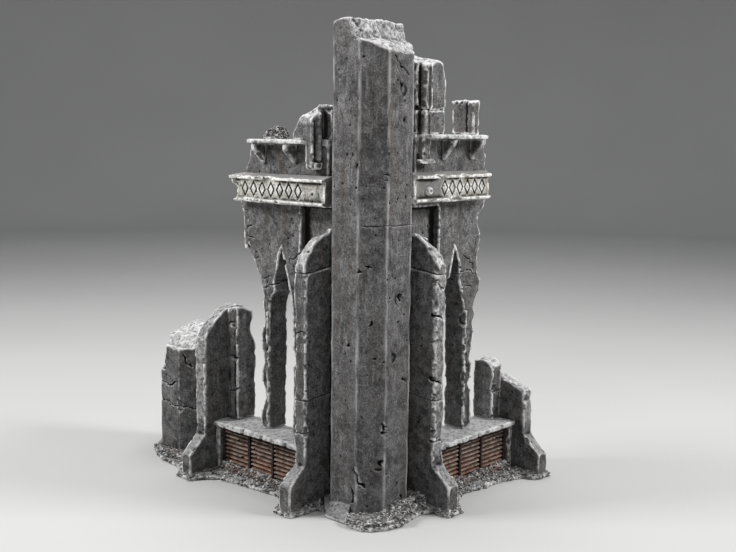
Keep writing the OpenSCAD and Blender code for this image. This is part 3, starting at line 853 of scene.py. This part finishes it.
def column_depth(field):
    """How far each point lies inside the column's eight faces, in millimetres."""
    x, y = np.abs(field.axes[0][:, None, None]), np.abs(field.axes[1][None, :, None])
    return (COLUMN_HALF - np.maximum(np.maximum(x, y), slanted(x, y))).astype(np.float32)


def slanted(x, y):
    """The distance towards a corner face of the column, scaled so that it is 15 on that face."""
    return (x + y) * 0.7071 * COLUMN_HALF / COLUMN_DIAGONAL


def column_rib(points):
    """How near points are to the column's eight upright edges, from 0 to 1."""
    x, y = np.abs(points[:, 0]), np.abs(points[:, 1])
    return np.clip(1 - np.abs(np.maximum(x, y) - slanted(x, y)) / RIB_WIDTH, 0, 1)


def column():
    """Both drums of the octagonal column, with a broken head."""
    field = Field(["column_lower", "column_upper"], COLUMN_VOXEL, 21, margin=8)
    field.extend_down(4, SUNK_BOTTOM)
    # The CAD column's chips are filled in up to its head, where the middle is broken up.
    height = field.axes[2][None, None, :]
    depth = column_depth(field)
    skin = np.maximum(np.maximum(-depth, depth - 6), np.maximum(3 - height, height - 181))
    field.d = np.minimum(field.d, skin.astype(np.float32))
    east = np.clip((field.axes[0] + 2) / 4, 0.25, 1)[:, None, None]
    inner = np.clip((depth - 0.2) / 1.4, 0, 1) * np.clip((height - 178) / 3, 0, 1) * east
    field.fracture(inner, 0.75, 0.34)
    head = [(-16, 16), (-16, 16), (179, 200)]
    field.chip(0.2, (1.2, 5.0), head, depth=0.2)
    for place, normal, size in COLUMN_SPALLS:
        field.spall(place, normal, size)
    for route, normal in COLUMN_CRACKS:
        field.crack(route, normal)
    wear(field, SMOOTH_BUMPS, 1, edges=0.5, chips=0.2, chip_size=(0.7, 4.2), pits=0.03)
    x, y = field.axes[0][:, None, None], field.axes[1][None, :, None]
    closed = np.clip((6.5 - x) / 1.5, 0, 1) * np.clip((-13 - y) / 1.0, 0, 1)
    field.seam(lambda x, y, z: z - DRUM_JOINT + 0 * x * y, closed=closed)
    joint = (0, 0, DRUM_JOINT)
    part(worn_mesh("column", field, column_rib), column_stone,
         [("column_lower", [(joint, UP)]), ("column_upper", [(joint, DOWN)])])


def column_skirt():
    """The foot's surviving corner: a plinth that slopes out from two of the column's faces."""
    field = Field(["column_foot"], WALL_VOXEL, 23, margin=28)
    x, y, z = field.spread()
    front = np.maximum((-(y + 15) * 4.8 + (z - 6.0) * 5.2) / 7.1, -(y + 20.9))
    diagonal = (-x - y) * 0.7071
    corner = np.maximum(diagonal - 18.1, ((diagonal - 15.5) * 0.3 + (z - 4.8)) * 0.95)
    ends = np.maximum(np.maximum((x - 4.3 + 0.55 * (y + 15.2)) * 0.88, -14.5 - x), y + 8.5)
    field.d = np.maximum(np.maximum(np.maximum(front, corner), ends), 0.05 - z).astype(np.float32)
    wear(field, STONE_BUMPS, 4, edges=0.3, chips=0.2, chip_size=(0.7, 2.4))
    piece("column_foot", worn_mesh("column_foot", field), column_stone)


def wall(side, place, seed, broken, cracks, beads):
    """The window wall over the sill, worn as one and then parted at its joints."""
    names = [side + n for n in ("_near_jamb", "_mullion", "_spandrel", "_lintel", "_frieze")]
    field = Field(names, WALL_VOXEL, seed)
    out = place(0, 1, 0)
    for bead in beads:
        field.ridge([place(s, WALL_FACE + 0.1, z) for s, z in bead], 0.7, 0.006)
    wear(field, STONE_BUMPS, seed % 13, edges=0.35, chips=0.14, chip_size=(0.6, 3.0), broken=broken)
    for route in cracks:
        field.crack([place(s, WALL_FACE, z) for s, z in route], out, 0.42, 1.2)
    between = place(42, 0, 0)
    spring, lintel, frieze = (0, 0, ARCH_SPRING), (0, 0, LINTEL_BOTTOM), (0, 0, FRIEZE_BOTTOM)
    part(worn_mesh(side + "_wall", field), dark_stone, [
        (side + "_near_jamb", [(spring, UP), (between, place(1, 0, 0))]),
        (side + "_mullion", [(spring, UP), (between, place(-1, 0, 0))]),
        (side + "_spandrel", [(spring, DOWN), (lintel, UP)]),
        (side + "_lintel", [(lintel, DOWN), (frieze, UP)]),
        (side + "_frieze", [(frieze, DOWN)]),
    ])


BOARD_PANEL = 15.0  # how far out a board's panel and a buttress's front face are
BUTTRESS_FACE = 22.5
LOZENGE_PITCH = 5.4
# Larger breaks on a buttress: (along, outwards, height, how far it faces up, size).
FACETS = [
    (14.1, 21, 105, 0.5, 8.0), (20.6, 20.4, 105.6, 0.6, 8.0), (17.3, 18, 109.5, 0.9, 10.0),
    (17.3, 10, 113.5, 1.3, 9.0), (14.1, 14, 111.5, 1.1, 7.0), (20.6, 22.4, 60, 0.0, 3.6),
    (14.1, 22.4, 71, 0.0, 4.0), (14.1, 22.4, 34, 0.0, 3.8),
]
# Its two sloping joints: (outwards, height) at the wall and at the front.
BUTTRESS_JOINTS = [((5.3, 47.6), (BUTTRESS_FACE, 46)), ((5.3, 99.8), (BUTTRESS_FACE, 97.5))]


def buttress(side, place, seed, chips, largest, gashes=(), cracks=(), crumbled=0.0):
    """The tall inner buttress: three stones worn as one, with thin sloping joints."""
    nodes = [side + n for n in ("_buttress_foot", "_buttress_shaft", "_buttress_head")]
    field = Field(nodes, WALL_VOXEL, seed, margin=8)
    field.extend_down(3.6, BUTTRESS_BOTTOM)
    out = np.array(place(0, 1, 0), float)
    along = np.array(place(1, 0, 0), float)
    for s, p, z, turn, size in FACETS:
        normal = out * math.cos(turn) + np.array((0, 0, math.sin(turn))) + along * (0.5 if s > 17 else -0.5)
        field.flake(np.array(place(s, p, z)), unit(normal), size, size * 0.13)
    # The head's three broken planes, and the side that has come off above the upper joint.
    field.break_off(place(17, 10.7, 113.6), out * 0.72 + along * 0.12 + UP, 0.3, 0.1)
    field.break_off(place(17, 9, 114.4), UP, 0.3, 0.1)
    field.break_off(place(17, 18.2, 108.4), out * 1.6 + UP, 0.3, 0.1)
    field.cut_back(place(14.7, 15, 105), -along,
                   lambda x, y, z: z - 100.4 + 0.134 * (x * out[0] + y * out[1] - 5.3))
    for s, p, z, size in gashes:
        field.bite(place(s, p, z), size * 0.62)
    if crumbled:
        face = field.inside(wing_box(place, (10, 24), (21.6, 24), (24, 100)))
        field.fracture(crumbled * face, 0.4, 0.14, 5)
    for route in cracks:
        field.crack([place(s, BUTTRESS_FACE, z) for s, z in route], out, 0.55, 1.3)
    wear(field, STONE_BUMPS, seed % 13, chips=chips, chip_size=(0.8, largest),
         broken=[(wing_box(place, (12, 23), (18, 24), (20, 118)), chips, (0.8, largest))])
    planes = []
    for (p0, z0), (p1, z1) in BUTTRESS_JOINTS:
        slope = (z1 - z0) / (p1 - p0)
        field.seam(lambda x, y, z: z - z0 - slope * (x * out[0] + y * out[1] - p0), width=0.4)
        planes.append((place(0, p0, z0), unit([-slope * out[0], -slope * out[1], 1.0])))
    (low, low_up), (high, high_up) = planes
    bounds = [(low, low_up)], [(low, -low_up), (high, high_up)], [(high, -high_up)]
    part(worn_mesh(side + "_buttress", field), dark_stone, list(zip(nodes, bounds)))


def end_buttress(side, place, seed, broken, breaks=()):
    """The low outer buttress on its foot, worn as one and parted at the ledge."""
    field = Field([side + "_end_foot", side + "_end_buttress"], WALL_VOXEL, seed, margin=8)
    field.extend_down(3.6, BUTTRESS_BOTTOM)
    for point, normal in breaks:
        field.break_off(point, normal, 0.6, 0.12)
    field.fracture(0.6 * field.inside(wing_box(place, (70, 90), (21.6, 24), (24, 66))), 0.35, 0.14, 5)
    wear(field, STONE_BUMPS, seed % 13, chips=0.24, chip_size=(0.7, 4.0), broken=broken)
    ledge = (0, 0, END_LEDGE)
    part(worn_mesh(side + "_end", field), dark_stone,
         [(side + "_end_foot", [(ledge, UP)]), (side + "_end_buttress", [(ledge, DOWN)])])


def name_board(side, place, seed, material, first, last, knocks, bottom, top):
    """The panel between two rails, with a row of cut lozenges from first to last along the wing.

    It reaches from bottom to top, which is a little lower than the CAD board. knocks are where its
    rails are broken, as (along, height, size, how much longer along the wing).
    """
    def fitted(points):
        share = (points[:, 2] - LINTEL_BOTTOM) * (top - bottom)
        points[:, 2] = bottom + share / (FRIEZE_BOTTOM - LINTEL_BOTTOM)
        return points

    node = side + "_name_board"
    field = Field([node], TRIM_VOXEL, seed, margin=8, reshape=fitted)
    out, along = place(0, 1, 0), place(1, 0, 0)
    for s, z, size, longer in knocks:
        field.bite(place(s, 16.6, z), size, (1, longer, 1) if along[0] == 0 else (longer, 1, 1))
    # The upper rail's top slopes down outwards, and the lower rail's underside slopes up.
    x, y, z = field.spread()
    p = x * out[0] + y * out[1]
    slopes = np.maximum(((p - 12.2) * 0.3 + z - top) / 1.04, ((p - 14.2) * 0.36 + bottom - z) / 1.06)
    field.d = np.maximum(field.d, slopes.astype(np.float32))
    wear(field, [(7, 0.1), (2.2, 0.06), (1.0, 0.04)], seed % 13, edges=0.25, chips=0.25, chip_size=(0.5, 2.2),
         broken=[(wing_box(place, (55, 95), (9, 18), (120, 140)), 0.25, (0.6, 2.6))])
    middle = (bottom + top) / 2 - 0.3
    count = round((last - first) / LOZENGE_PITCH)
    pitch = (last - first) / count
    for i in range(count):
        centre = np.array(place(first + (i + 0.5) * pitch, BOARD_PANEL, middle))

        def lozenge(x, y, z):
            s = np.abs((x - centre[0]) * along[0] + (y - centre[1]) * along[1])
            p = (x - centre[0]) * out[0] + (y - centre[1]) * out[1]
            ring = np.abs((s / 1.9 + np.abs(z - middle) / 2.9 - 1) * 1.6) - 0.36
            return np.maximum(ring, -p - 0.75)
        field.groove(centre, 4.2, lozenge)
    piece(node, worn_mesh(node, field), material)


def board_boss(side, place, z, seed):
    """The round stud on a board, with a chipped hollow."""
    node = side + "_board_boss"
    field = Field([node], SLAT_VOXEL, seed, margin=12)
    field.ridge([place(16.7, 15.2, z), place(16.7, 15.4, z)], 1.7, 0.0)
    field.bite(place(16.7, 17.1, z), 0.8)
    wear(field, [(1.6, 0.12), (0.8, 0.05)], seed % 13, edges=0.15, chips=0.04, chip_size=(0.3, 0.8), pits=0)
    piece(node, worn_mesh(node, field), pale_stone)


# ---- Rubble ----

def stones(random, points, sizes, flat=0.75):
    """Many small angular stones, as points and triangles."""
    golden = (1 + 5 ** 0.5) / 2
    shape = np.array([(-1, golden, 0), (1, golden, 0), (-1, -golden, 0), (1, -golden, 0), (0, -1, golden),
                      (0, 1, golden), (0, -1, -golden), (0, 1, -golden), (golden, 0, -1), (golden, 0, 1),
                      (-golden, 0, -1), (-golden, 0, 1)])
    shape /= np.linalg.norm(shape[0])
    faces = np.array([(0, 11, 5), (0, 5, 1), (0, 1, 7), (0, 7, 10), (0, 10, 11), (1, 5, 9), (5, 11, 4),
                      (11, 10, 2), (10, 7, 6), (7, 1, 8), (3, 9, 4), (3, 4, 2), (3, 2, 6), (3, 6, 8),
                      (3, 8, 9), (4, 9, 5), (2, 4, 11), (6, 2, 10), (8, 6, 7), (9, 8, 1)])
    count = len(points)
    radii = random.uniform(0.72, 1.1, (count, 12, 1))
    grown = shape[None] * radii * random.uniform(0.6, 1.25, (count, 1, 3))
    turn = np.linalg.qr(random.normal(size=(count, 3, 3)))[0]
    turn *= np.sign(np.linalg.det(turn))[:, None, None]
    placed = np.einsum("nij,nkj->nki", turn, grown) * np.asarray(sizes)[:, None, None]
    placed[:, :, 2] *= flat
    placed += np.asarray(points)[:, None, :]
    triangles = faces[None] + 12 * np.arange(count)[:, None, None]
    return placed.reshape(-1, 3), triangles.reshape(-1, 3)


def rubble(node, seed, voxel=WALL_VOXEL, lumps=0.03, grains=4.4, lump_size=(0.6, 1.8), slope=0.3,
           limit=None, rim=None, material=grit):
    """A bank of broken stone and glued grit in the place of a CAD block.

    lumps and grains are how many stones and grains there are per square millimetre. limit(x, y) is
    the greatest height. rim is (height at the rim, rise per millimetre inwards).
    """
    field = Field([node], voxel, seed, margin=8)
    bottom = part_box(node)[0].z / MM
    height = field.axes[2][None, None, :].astype(np.float32)
    if 2 < bottom < 4:
        # It stands on the ground base, which is worn lower, so it reaches a little into it.
        field.extend_down(bottom + 0.6, SUNK_BOTTOM)
        bottom = SUNK_BOTTOM
    soft = blurred(field.d, max(1, round(0.9 / voxel)))
    if rim is None:
        field.d = soft + np.clip((height - bottom) / 3, 0, 1) * np.float32(slope)
    else:
        points, triangles = cad_mesh(node)
        points[:, 2] = (points[:, 2] - bottom) * 20 - 30
        inwards = -field.distances(points, triangles)
        inwards += 0.35 * field.noise(2.8, seed % 7) + 0.3 * field.noise(1.2, seed % 5)
        field.d = np.maximum(np.maximum(-inwards, height - rim[0] - rim[1] * np.clip(inwards, 0, None)),
                             field.d - 0.1).astype(np.float32)
    if limit is not None:
        most = limit(field.axes[0][:, None, None], field.axes[1][None, :, None])
        field.d = np.maximum(field.d, (height - most).astype(np.float32))
    field.roughen([(6, 0.35), (2.6, 0.16), (1.3, 0.15)], seed % 11)
    points, normals = field.surface_cells()
    keep = (normals[:, 2] > -0.3) & (points[:, 2] > bottom + 0.5)
    points, normals = points[keep], normals[keep]
    for pick in field.random.integers(0, len(points), int(lumps * len(points) * voxel ** 2)):
        size = lump_size[0] + (lump_size[1] - lump_size[0]) * field.random.uniform() ** 2.5
        field.stud(points[pick] - normals[pick] * size * 0.35, size, (1, 1, 0.8))
    field.d = np.maximum(field.d, np.float32(bottom) - height)
    mesh = worn_mesh(node, field)
    points, normals = field.surface_cells()
    keep = (normals[:, 2] > -0.1) & (points[:, 2] > bottom + 0.3) & ~under_walls(points)
    points, normals = points[keep], normals[keep]
    count = int(grains * len(points) * voxel ** 2)
    picks = field.random.integers(0, len(points), count)
    sizes = 0.22 + 0.6 * field.random.uniform(size=count) ** 2.6
    sunk = sizes * field.random.uniform(-0.3, 0.35, count)
    places = points[picks] + normals[picks] * sunk[:, None] + field.random.normal(size=(count, 3)) * 0.12
    grain_points, grain_faces = stones(field.random, places, sizes)
    edge = (0.85 * field.random.uniform(size=count) ** 2.6).repeat(12)  # 12 corners a stone
    nothing = np.zeros(len(edge))
    grain_mesh = new_mesh(node + "_grains", grain_points, grain_faces,
                          {"edge": edge, "deep": nothing, "broken": nothing}, smooth=False)
    piece(node, join_meshes(node, [mesh, grain_mesh]), material)


def under_walls(points):
    """Which points of the ground lie hidden under the walls and the column."""
    x, y, z = points.T
    left = (-x > 16) & (-x < 78) & (-y > 0) & (-y < 7)
    right = (y > 16) & (y < 78) & (x > 0) & (x < 7)
    column = np.maximum(np.maximum(np.abs(x), np.abs(y)), (np.abs(x) + np.abs(y)) * 0.7) < 13.5
    stub = np.maximum(np.abs(x + 114.4), np.abs(y)) < 11
    return (z < 3.5) & (left | right | column | stub)


def join_meshes(name, meshes):
    """One mesh made of several."""
    work = bmesh.new()
    for mesh in meshes:
        work.from_mesh(mesh)
    joined = bpy.data.meshes.new(name)
    work.to_mesh(joined)
    work.free()
    for mesh in meshes:
        bpy.data.meshes.remove(mesh)
    return joined


# ---- Build ----

column()
column_skirt()

wall("left", on_left, 31, broken=[
    (wing_box(on_left, (43, 49), (-2, 10), (82, 104)), 0.1, (0.7, 1.8)),
    (wing_box(on_left, (50, 57), (-2, 10), (26, 84)), 0.3, (0.9, 4.0)),
    (wing_box(on_left, (53, 72), (-2, 10), (84, 124)), 0.3, (1.0, 5.0)),
    (wing_box(on_left, (58, 68), (-2, 10), (134, 150)), 0.3, (1.0, 4.4)),
], cracks=[
    [(67, 111), (64.5, 112.3), (61.5, 113)], [(66, 110.5), (62.5, 108), (59.5, 107.5)],
    [(57, 92.5), (52.5, 91), (48.5, 92)], [(55.5, 87.5), (52, 86.5), (48, 88.5), (45, 90)],
    [(38, 98.5), (34.5, 101), (31, 104)], [(69.5, 119), (66, 120), (63.5, 118.5)],
    [(62, 100), (59, 98.5), (57, 100)], [(52.5, 91), (51.5, 88.5), (52, 86.5)],
], beads=[
    [(42, 105.5), (40.3, 100.5)], [(39.4, 97.5), (36.3, 88.5), (34.5, 81), (34.2, 60)],
    [(34.2, 55), (34.2, 27)], [(42, 105.5), (44.3, 101), (45.2, 95.5)],
    [(63, 105.5), (61.3, 100), (59.4, 94.5)],
    [(51.1, 76), (51.1, 62)], [(51.1, 57), (51.1, 44)], [(51.1, 40), (51.1, 27)],
    [(54, 70), (54, 60)], [(53.6, 52), (54, 46)], [(54.2, 33), (54.6, 27)],
])
wall("right", on_right, 32, broken=[
    (wing_box(on_right, (42, 49), (-2, 10), (82, 104)), 0.1, (0.7, 1.8)),
    (wing_box(on_right, (48, 59), (-2, 10), (26, 84)), 0.3, (0.9, 4.0)),
    (wing_box(on_right, (55, 66), (-2, 10), (80, 124)), 0.3, (1.0, 5.0)),
    (wing_box(on_right, (58, 66), (-2, 10), (134, 152)), 0.3, (1.0, 4.4)),
], cracks=[
    [(48, 102), (52, 100), (55, 97.5), (55, 94.5)], [(45.5, 93.5), (50, 95.3), (54, 94), (58, 92.5)],
    [(47.5, 87), (51, 88.5), (54, 87.5)], [(60.5, 112), (57.5, 109), (57, 105)],
    [(55, 117.5), (58, 118.5)],
], beads=[
    [(41.3, 106.4), (39.8, 101), (37.6, 93.5)], [(34.4, 81), (34.2, 62)], [(34.2, 57), (34.2, 27)],
    [(41.3, 106.4), (43.6, 103), (45.6, 98)],
    [(50.2, 77), (50.2, 66)], [(50.2, 62), (50.2, 50)], [(50.2, 45), (50.2, 27)],
    [(55.4, 68), (54.4, 60)], [(54.2, 54), (54, 47)], [(54.4, 42), (54.4, 27)],
])
end_buttress("left", on_left, 33, [
    (wing_box(on_left, (77, 86), (6, 24), (56, 78)), 0.3, (1.0, 4.6)),
])
end_buttress("right", on_right, 34, [
    (wing_box(on_right, (77, 86), (6, 24), (30, 52)), 0.3, (1.0, 4.6)),
], breaks=[(on_right(79, 9.9, 44), (0.33, 0.12, 1.0))])
buttress("left", on_left, 40, 0.16, 3.6, cracks=[
    [(14, 73.5), (16, 74.4), (20.6, 73)], [(14, 33), (17, 32), (20.6, 33.4)],
])
buttress("right", on_right, 60, 0.3, 4.4, gashes=[
    (14.3, 22, 95, 1.6), (14.5, 22.3, 86, 1.8), (20.6, 22.5, 80, 1.6), (14.3, 22.5, 61, 1.8),
    (14, 22.3, 49, 2.0), (20.6, 22.6, 53, 1.6), (14.2, 22.4, 42, 1.6), (14.3, 23, 24, 2.0),
    (17, 23.5, 22.5, 1.6),
], cracks=[
    [(13.8, 94.8), (16, 93.2), (20.6, 91.2)], [(13.8, 81), (17, 80.8), (20.6, 78.8)],
    [(13.6, 70.3), (17, 71.2), (20.4, 70)], [(13.8, 56.4), (16.5, 54), (20.4, 51.8)],
    [(13.6, 30), (17, 29.2), (20.6, 27)],
], crumbled=0.5)


def rod(place, s, p, low, high, radius):
    """An upright half-round rod, as plain_piece takes it."""
    return place(s, p, low), place(s, p, high), radius


JAMB_SHAFTS = {
    "left": [rod(on_left, 75.1, 7.9, 27, 66, 3.0), rod(on_left, 71.6, 9.4, 27, 66, 0.6)],
    "right": [rod(on_right, 71.6, 9.4, 26, 46, 0.6), rod(on_right, 77, 9.4, 26, 47, 0.55)],
}
JAMB_CRACKS = {
    "left": [[on_left(s, 10.9, z) for s, z in route] for route in (
        [(78, 38.2), (74, 37.8), (70.5, 38.6)], [(78, 54.4), (74, 53.8), (70.5, 53.2)],
        [(78, 68), (74, 69), (71, 67)])],
    "right": [[on_right(s, WALL_FACE, z) for s, z in ((78, 38), (74, 37), (71, 37.6))]],
}
JAMB_HEADS = {"left": 69, "right": 46}
BOSS_HEIGHTS = {"left": 128.6, "right": 130.4}
THIN_METAL = {"edges": 0.2, "chips": 0.04, "chip_size": (0.4, 1.2), "pits": 0}
for side, place, seed in (("left", on_left, 40), ("right", on_right, 60)):
    plain_piece(side + "_far_jamb", dark_stone, "dark_stone", WALL_VOXEL, seed + 4,
                head=JAMB_HEADS[side], shafts=JAMB_SHAFTS[side],
                cracks=[(route, place(0, 1, 0)) for route in JAMB_CRACKS[side]],
                rough=[wing_box(place, (55, 70.5), (5, 14), (26, 80))], chips=0.3, chip_size=(0.8, 4.0))
    plain_piece(side + "_plinth_wall", dark_stone, "dark_stone", WALL_VOXEL, seed + 5)
    plain_piece(side + "_sill", pale_stone, "pale_stone", TRIM_VOXEL, seed + 6,
                chips=0.22, chip_size=(0.6, 2.8))
    plain_piece(side + "_shelf", pale_stone, "pale_stone", TRIM_VOXEL, seed + 7,
                chips=0.25, chip_size=(0.6, 2.4))
    plain_piece(side + "_grille_posts", dark_stone, "dark_stone", TRIM_VOXEL, seed + 8)
    plain_piece(side + "_corbels", dark_stone, "dark_stone", TRIM_VOXEL, seed + 9, edges=0.8)
    plain_piece(side + "_grille_bars", black_metal, "rusty_metal", SLAT_VOXEL, seed + 10,
                bumps=[(3, 0.05), (1, 0.04)], **THIN_METAL)
    plain_piece(side + "_louvre_slats", rusty_metal, "rusty_metal", SLAT_VOXEL, seed + 11,
                bumps=[(4, 0.06), (1, 0.04)], **THIN_METAL)
    board_boss(side, place, BOSS_HEIGHTS[side], seed + 12)
    rubble(side + "_rubble_bank", seed + 13, material=rusty_grit)

name_board("left", on_left, 81, pale_board, 24, 62, bottom=123.5, top=135.7, knocks=[
    (43, 134.4, 1.9, 2.2), (49.5, 134.6, 1.3, 1.6), (56, 134.2, 1.3, 1.4), (62, 134.6, 1.2, 1.4),
    (56.5, 124.2, 1.8, 1.6), (50.5, 124, 1.3, 1.3), (38, 123.8, 1.2, 1.4), (30, 134.6, 0.9, 1.8),
    (66, 130, 2.4, 1.0), (64.8, 126.4, 1.8, 1.0),
])
name_board("right", on_right, 82, pale_board_right, 25, 55, bottom=125.5, top=137.7, knocks=[
    (23.8, 136.4, 1.8, 1.9), (28, 136.8, 1.2, 1.5), (39.5, 136.4, 1.8, 1.2), (33.5, 126.4, 2.0, 1.7),
    (30.5, 126.6, 1.4, 1.2), (47, 136.8, 1.1, 1.8), (19, 126, 1.0, 1.5),
])

FACING_Y = (0, -1, 0)
FACING_CORNER = (0.7, -0.7, 0)
# The stones that stand on the shelves, and the stub: (node, seed, height of its broken head, how).
UPPER_STONES = [
    ("left_upper_pier", 91, 155, {
        "fills": [[(-21, -18.9), (-14, -8), (141.5, 161)]],
        "shafts": [rod(on_left, 19, 11.6, 142.5, 160, 1.7), rod(on_left, 18.9, 14.4, 142, 160, 0.45),
                   rod(on_left, 18.9, 8.7, 151, 160, 0.45)],
        "breaks": [(on_left(19.8, 10, 163.4), (0.27, -0.1, 1.0)),
                   (on_left(19.8, 10, 163.4), (-0.56, -0.1, 1.0)),
                   (on_left(20, 15, 157.6), (0.1, -1.2, 1.0))],
    }),
    ("right_pier_base", 92, None, {"shafts": [rod(on_right, 18.4, 11.2, 150, 160.8, 1.7)]}),
    ("right_upper_pier", 93, 176, {
        "shafts": [rod(on_right, 18.4, 11.2, 163.6, 180, 1.7), rod(on_right, 15.5, 9.5, 163, 183, 0.5),
                   rod(on_right, 20.2, 13, 163, 180, 0.5), rod(on_right, 28.6, 13, 164, 176, 0.5)],
        "breaks": [(on_right(21, 13, 180.5), (0.45, -0.35, 1.0)),
                   (on_right(29.5, 13, 174), (0.5, 1.0, 0.35))],
    }),
    ("right_pilaster_foot", 94, None, {}),
    ("right_fin_pier", 95, 164, {"fills": [[(1.2, 7.2), (49.25, 51), (153.2, 165.5)]]}),
    ("left_stub_column", 96, 50, {
        "breaks": [((-124, -15, 51.5), (-0.28, -0.45, 1.0))],
        "cut": ((-117.3, -15, 50), (-1, -1, 0.12), 41.5),
        "cracks": [
            ([(-120.5, -15, 26.6), (-116, -15, 26.3), (-112, -15, 24.6), (-108.4, -15, 25)], FACING_Y),
            ([(-107.4, -15, 25.4), (-104, -11.6, 24.4), (-100.4, -8, 25.2)], FACING_CORNER),
            ([(-120.5, -15, 35), (-116, -15, 34), (-112, -15, 35.4), (-109, -15, 36.4)], FACING_Y),
            ([(-106, -13.6, 50), (-105, -12.6, 45.5), (-103, -10.6, 44)], FACING_CORNER),
        ],
    }),
]
for node, seed, head, how in UPPER_STONES:
    plain_piece(node, dark_stone, "dark_stone", WALL_VOXEL, seed, head,
                chips=0.3, chip_size=(0.8, 4.6), **how)


def corner_heights(x, y):
    """The corner's grit lies low in front of the column and higher beside the right wing."""
    return 0.8 + 2.3 * np.clip((x - 6.5) / 2, 0, 1) + 3.4 * np.clip((y + 9) / 8, 0, 1)


def ground_heights(x, y):
    """The ground is bare under the column's sloping foot."""
    foot = (x < 4.8 - 0.55 * (y + 15.2)) & (y < -8.5) & (x > -14.5) & ((-x - y) * 0.7071 < 19.5)
    return np.where(foot, -1.0, 99.0)


rubble("ground_base", 101, GROUND_VOXEL, lumps=0.02, grains=1.6, rim=(1.3, 0.75), limit=ground_heights)
rubble("corner_rubble", 102, limit=corner_heights)
rubble("left_coping_rubble", 103)


def steel_pin():
    """The hidden dowel: its CAD node keeps its shape and gets turned steel."""
    p = Paint("steel_pin")
    turning = p.noise(0.4, 2, stretch=(9, 9, 1))
    colour = p.mix(p.band(turning, 0.35, 0.65), linear(150, 151, 155), linear(186, 187, 190))
    material = p.finish(colour, 0.35, turning, strength=0.2, specular=0.5, metallic=1.0)
    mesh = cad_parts["column_pin"].data
    mesh.materials.clear()
    mesh.materials.append(material)


steel_pin()


# ---- Studio ----

def backdrop():
    """A wide pale floor that turns up into a round wall, far outside every view's foreground."""
    p = Paint("studio_floor")
    tone = p.mix(p.band(p.noise(300, 2), 0.3, 0.7), linear(182, 182, 181), linear(186, 186, 185))
    material = p.finish(tone, 0.95, specular=0.1)
    flat, bend, tall, around = 1.3, 0.5, 1.2, 96
    turns = np.linspace(0, math.pi / 2, 13)
    radii = [0.0] + [flat + bend * math.sin(t) for t in turns] + [flat + bend]
    heights = [0.0] + [bend * (1 - math.cos(t)) for t in turns] + [bend + tall]
    work = bmesh.new()
    rings = []
    angles = [2 * math.pi * i / around for i in range(around)]
    for radius, height in zip(radii[1:], heights[1:]):
        rings.append([work.verts.new((radius * math.cos(a), radius * math.sin(a), height)) for a in angles])
    work.faces.new(rings[0])
    for inner, outer in zip(rings, rings[1:]):
        for i in range(around):
            j = (i + 1) % around
            work.faces.new((inner[i], outer[i], outer[j], inner[j])).smooth = True
    bmesh.ops.recalc_face_normals(work, faces=work.faces[:])
    mesh = bpy.data.meshes.new("studio_floor")
    work.to_mesh(mesh)
    work.free()
    mesh.materials.append(material)
    obj = bpy.data.objects.new("studio_floor", mesh)
    bpy.context.scene.collection.objects.link(obj)


def area_light(name, place, target, size, watts):
    """A square lamp at a place, in metres, that looks at target."""
    data = bpy.data.lights.new(name, "AREA")
    data.size = size
    data.energy = watts
    obj = bpy.data.objects.new(name, data)
    bpy.context.scene.collection.objects.link(obj)
    obj.location = place
    obj.rotation_euler = (Vector(target) - Vector(place)).to_track_quat("-Z", "Y").to_euler()


def studio():
    """The floor, a soft lamp on each side, two weak ones in front and above, and a dim sky."""
    backdrop()
    middle = (-0.02, 0.0, 0.12)
    area_light("left_softbox", (-0.4, -0.5, 0.5), middle, 0.2, 4.6)
    area_light("right_softbox", (0.52, 0.34, 0.5), middle, 0.2, 4.6)
    area_light("front_softbox", (0.3, -0.34, 0.62), middle, 0.3, 0.8)
    area_light("top_softbox", (-0.1, 0.1, 0.75), middle, 0.4, 3.0)
    world = bpy.data.worlds.new("studio")
    world.use_nodes = True
    world.node_tree.nodes["Background"].inputs["Color"].default_value = (0.95, 0.97, 1.0, 1)
    world.node_tree.nodes["Background"].inputs["Strength"].default_value = 0.32
    bpy.context.scene.world = world
    bpy.context.scene.view_settings.view_transform = "Standard"


def camera():
    """The photo's point of view: level with the upper part, on the corner, looking slightly down."""
    place = (0.27346, -0.29691, 0.15179)
    yaw, pitch, roll = (math.radians(a) for a in (42.801, 7.829, 0.651))
    data = bpy.data.cameras.new("camera")
    data.sensor_width = 36
    data.lens = 49.84
    data.clip_start = 0.01
    obj = bpy.data.objects.new("camera", data)
    bpy.context.scene.collection.objects.link(obj)
    turn = Matrix.Rotation(yaw, 4, "Z") @ Matrix.Rotation(math.pi / 2 - pitch, 4, "X") \
        @ Matrix.Rotation(roll, 4, "Z")
    obj.matrix_world = Matrix.Translation(place) @ turn
    bpy.context.scene.camera = obj


studio()
camera()
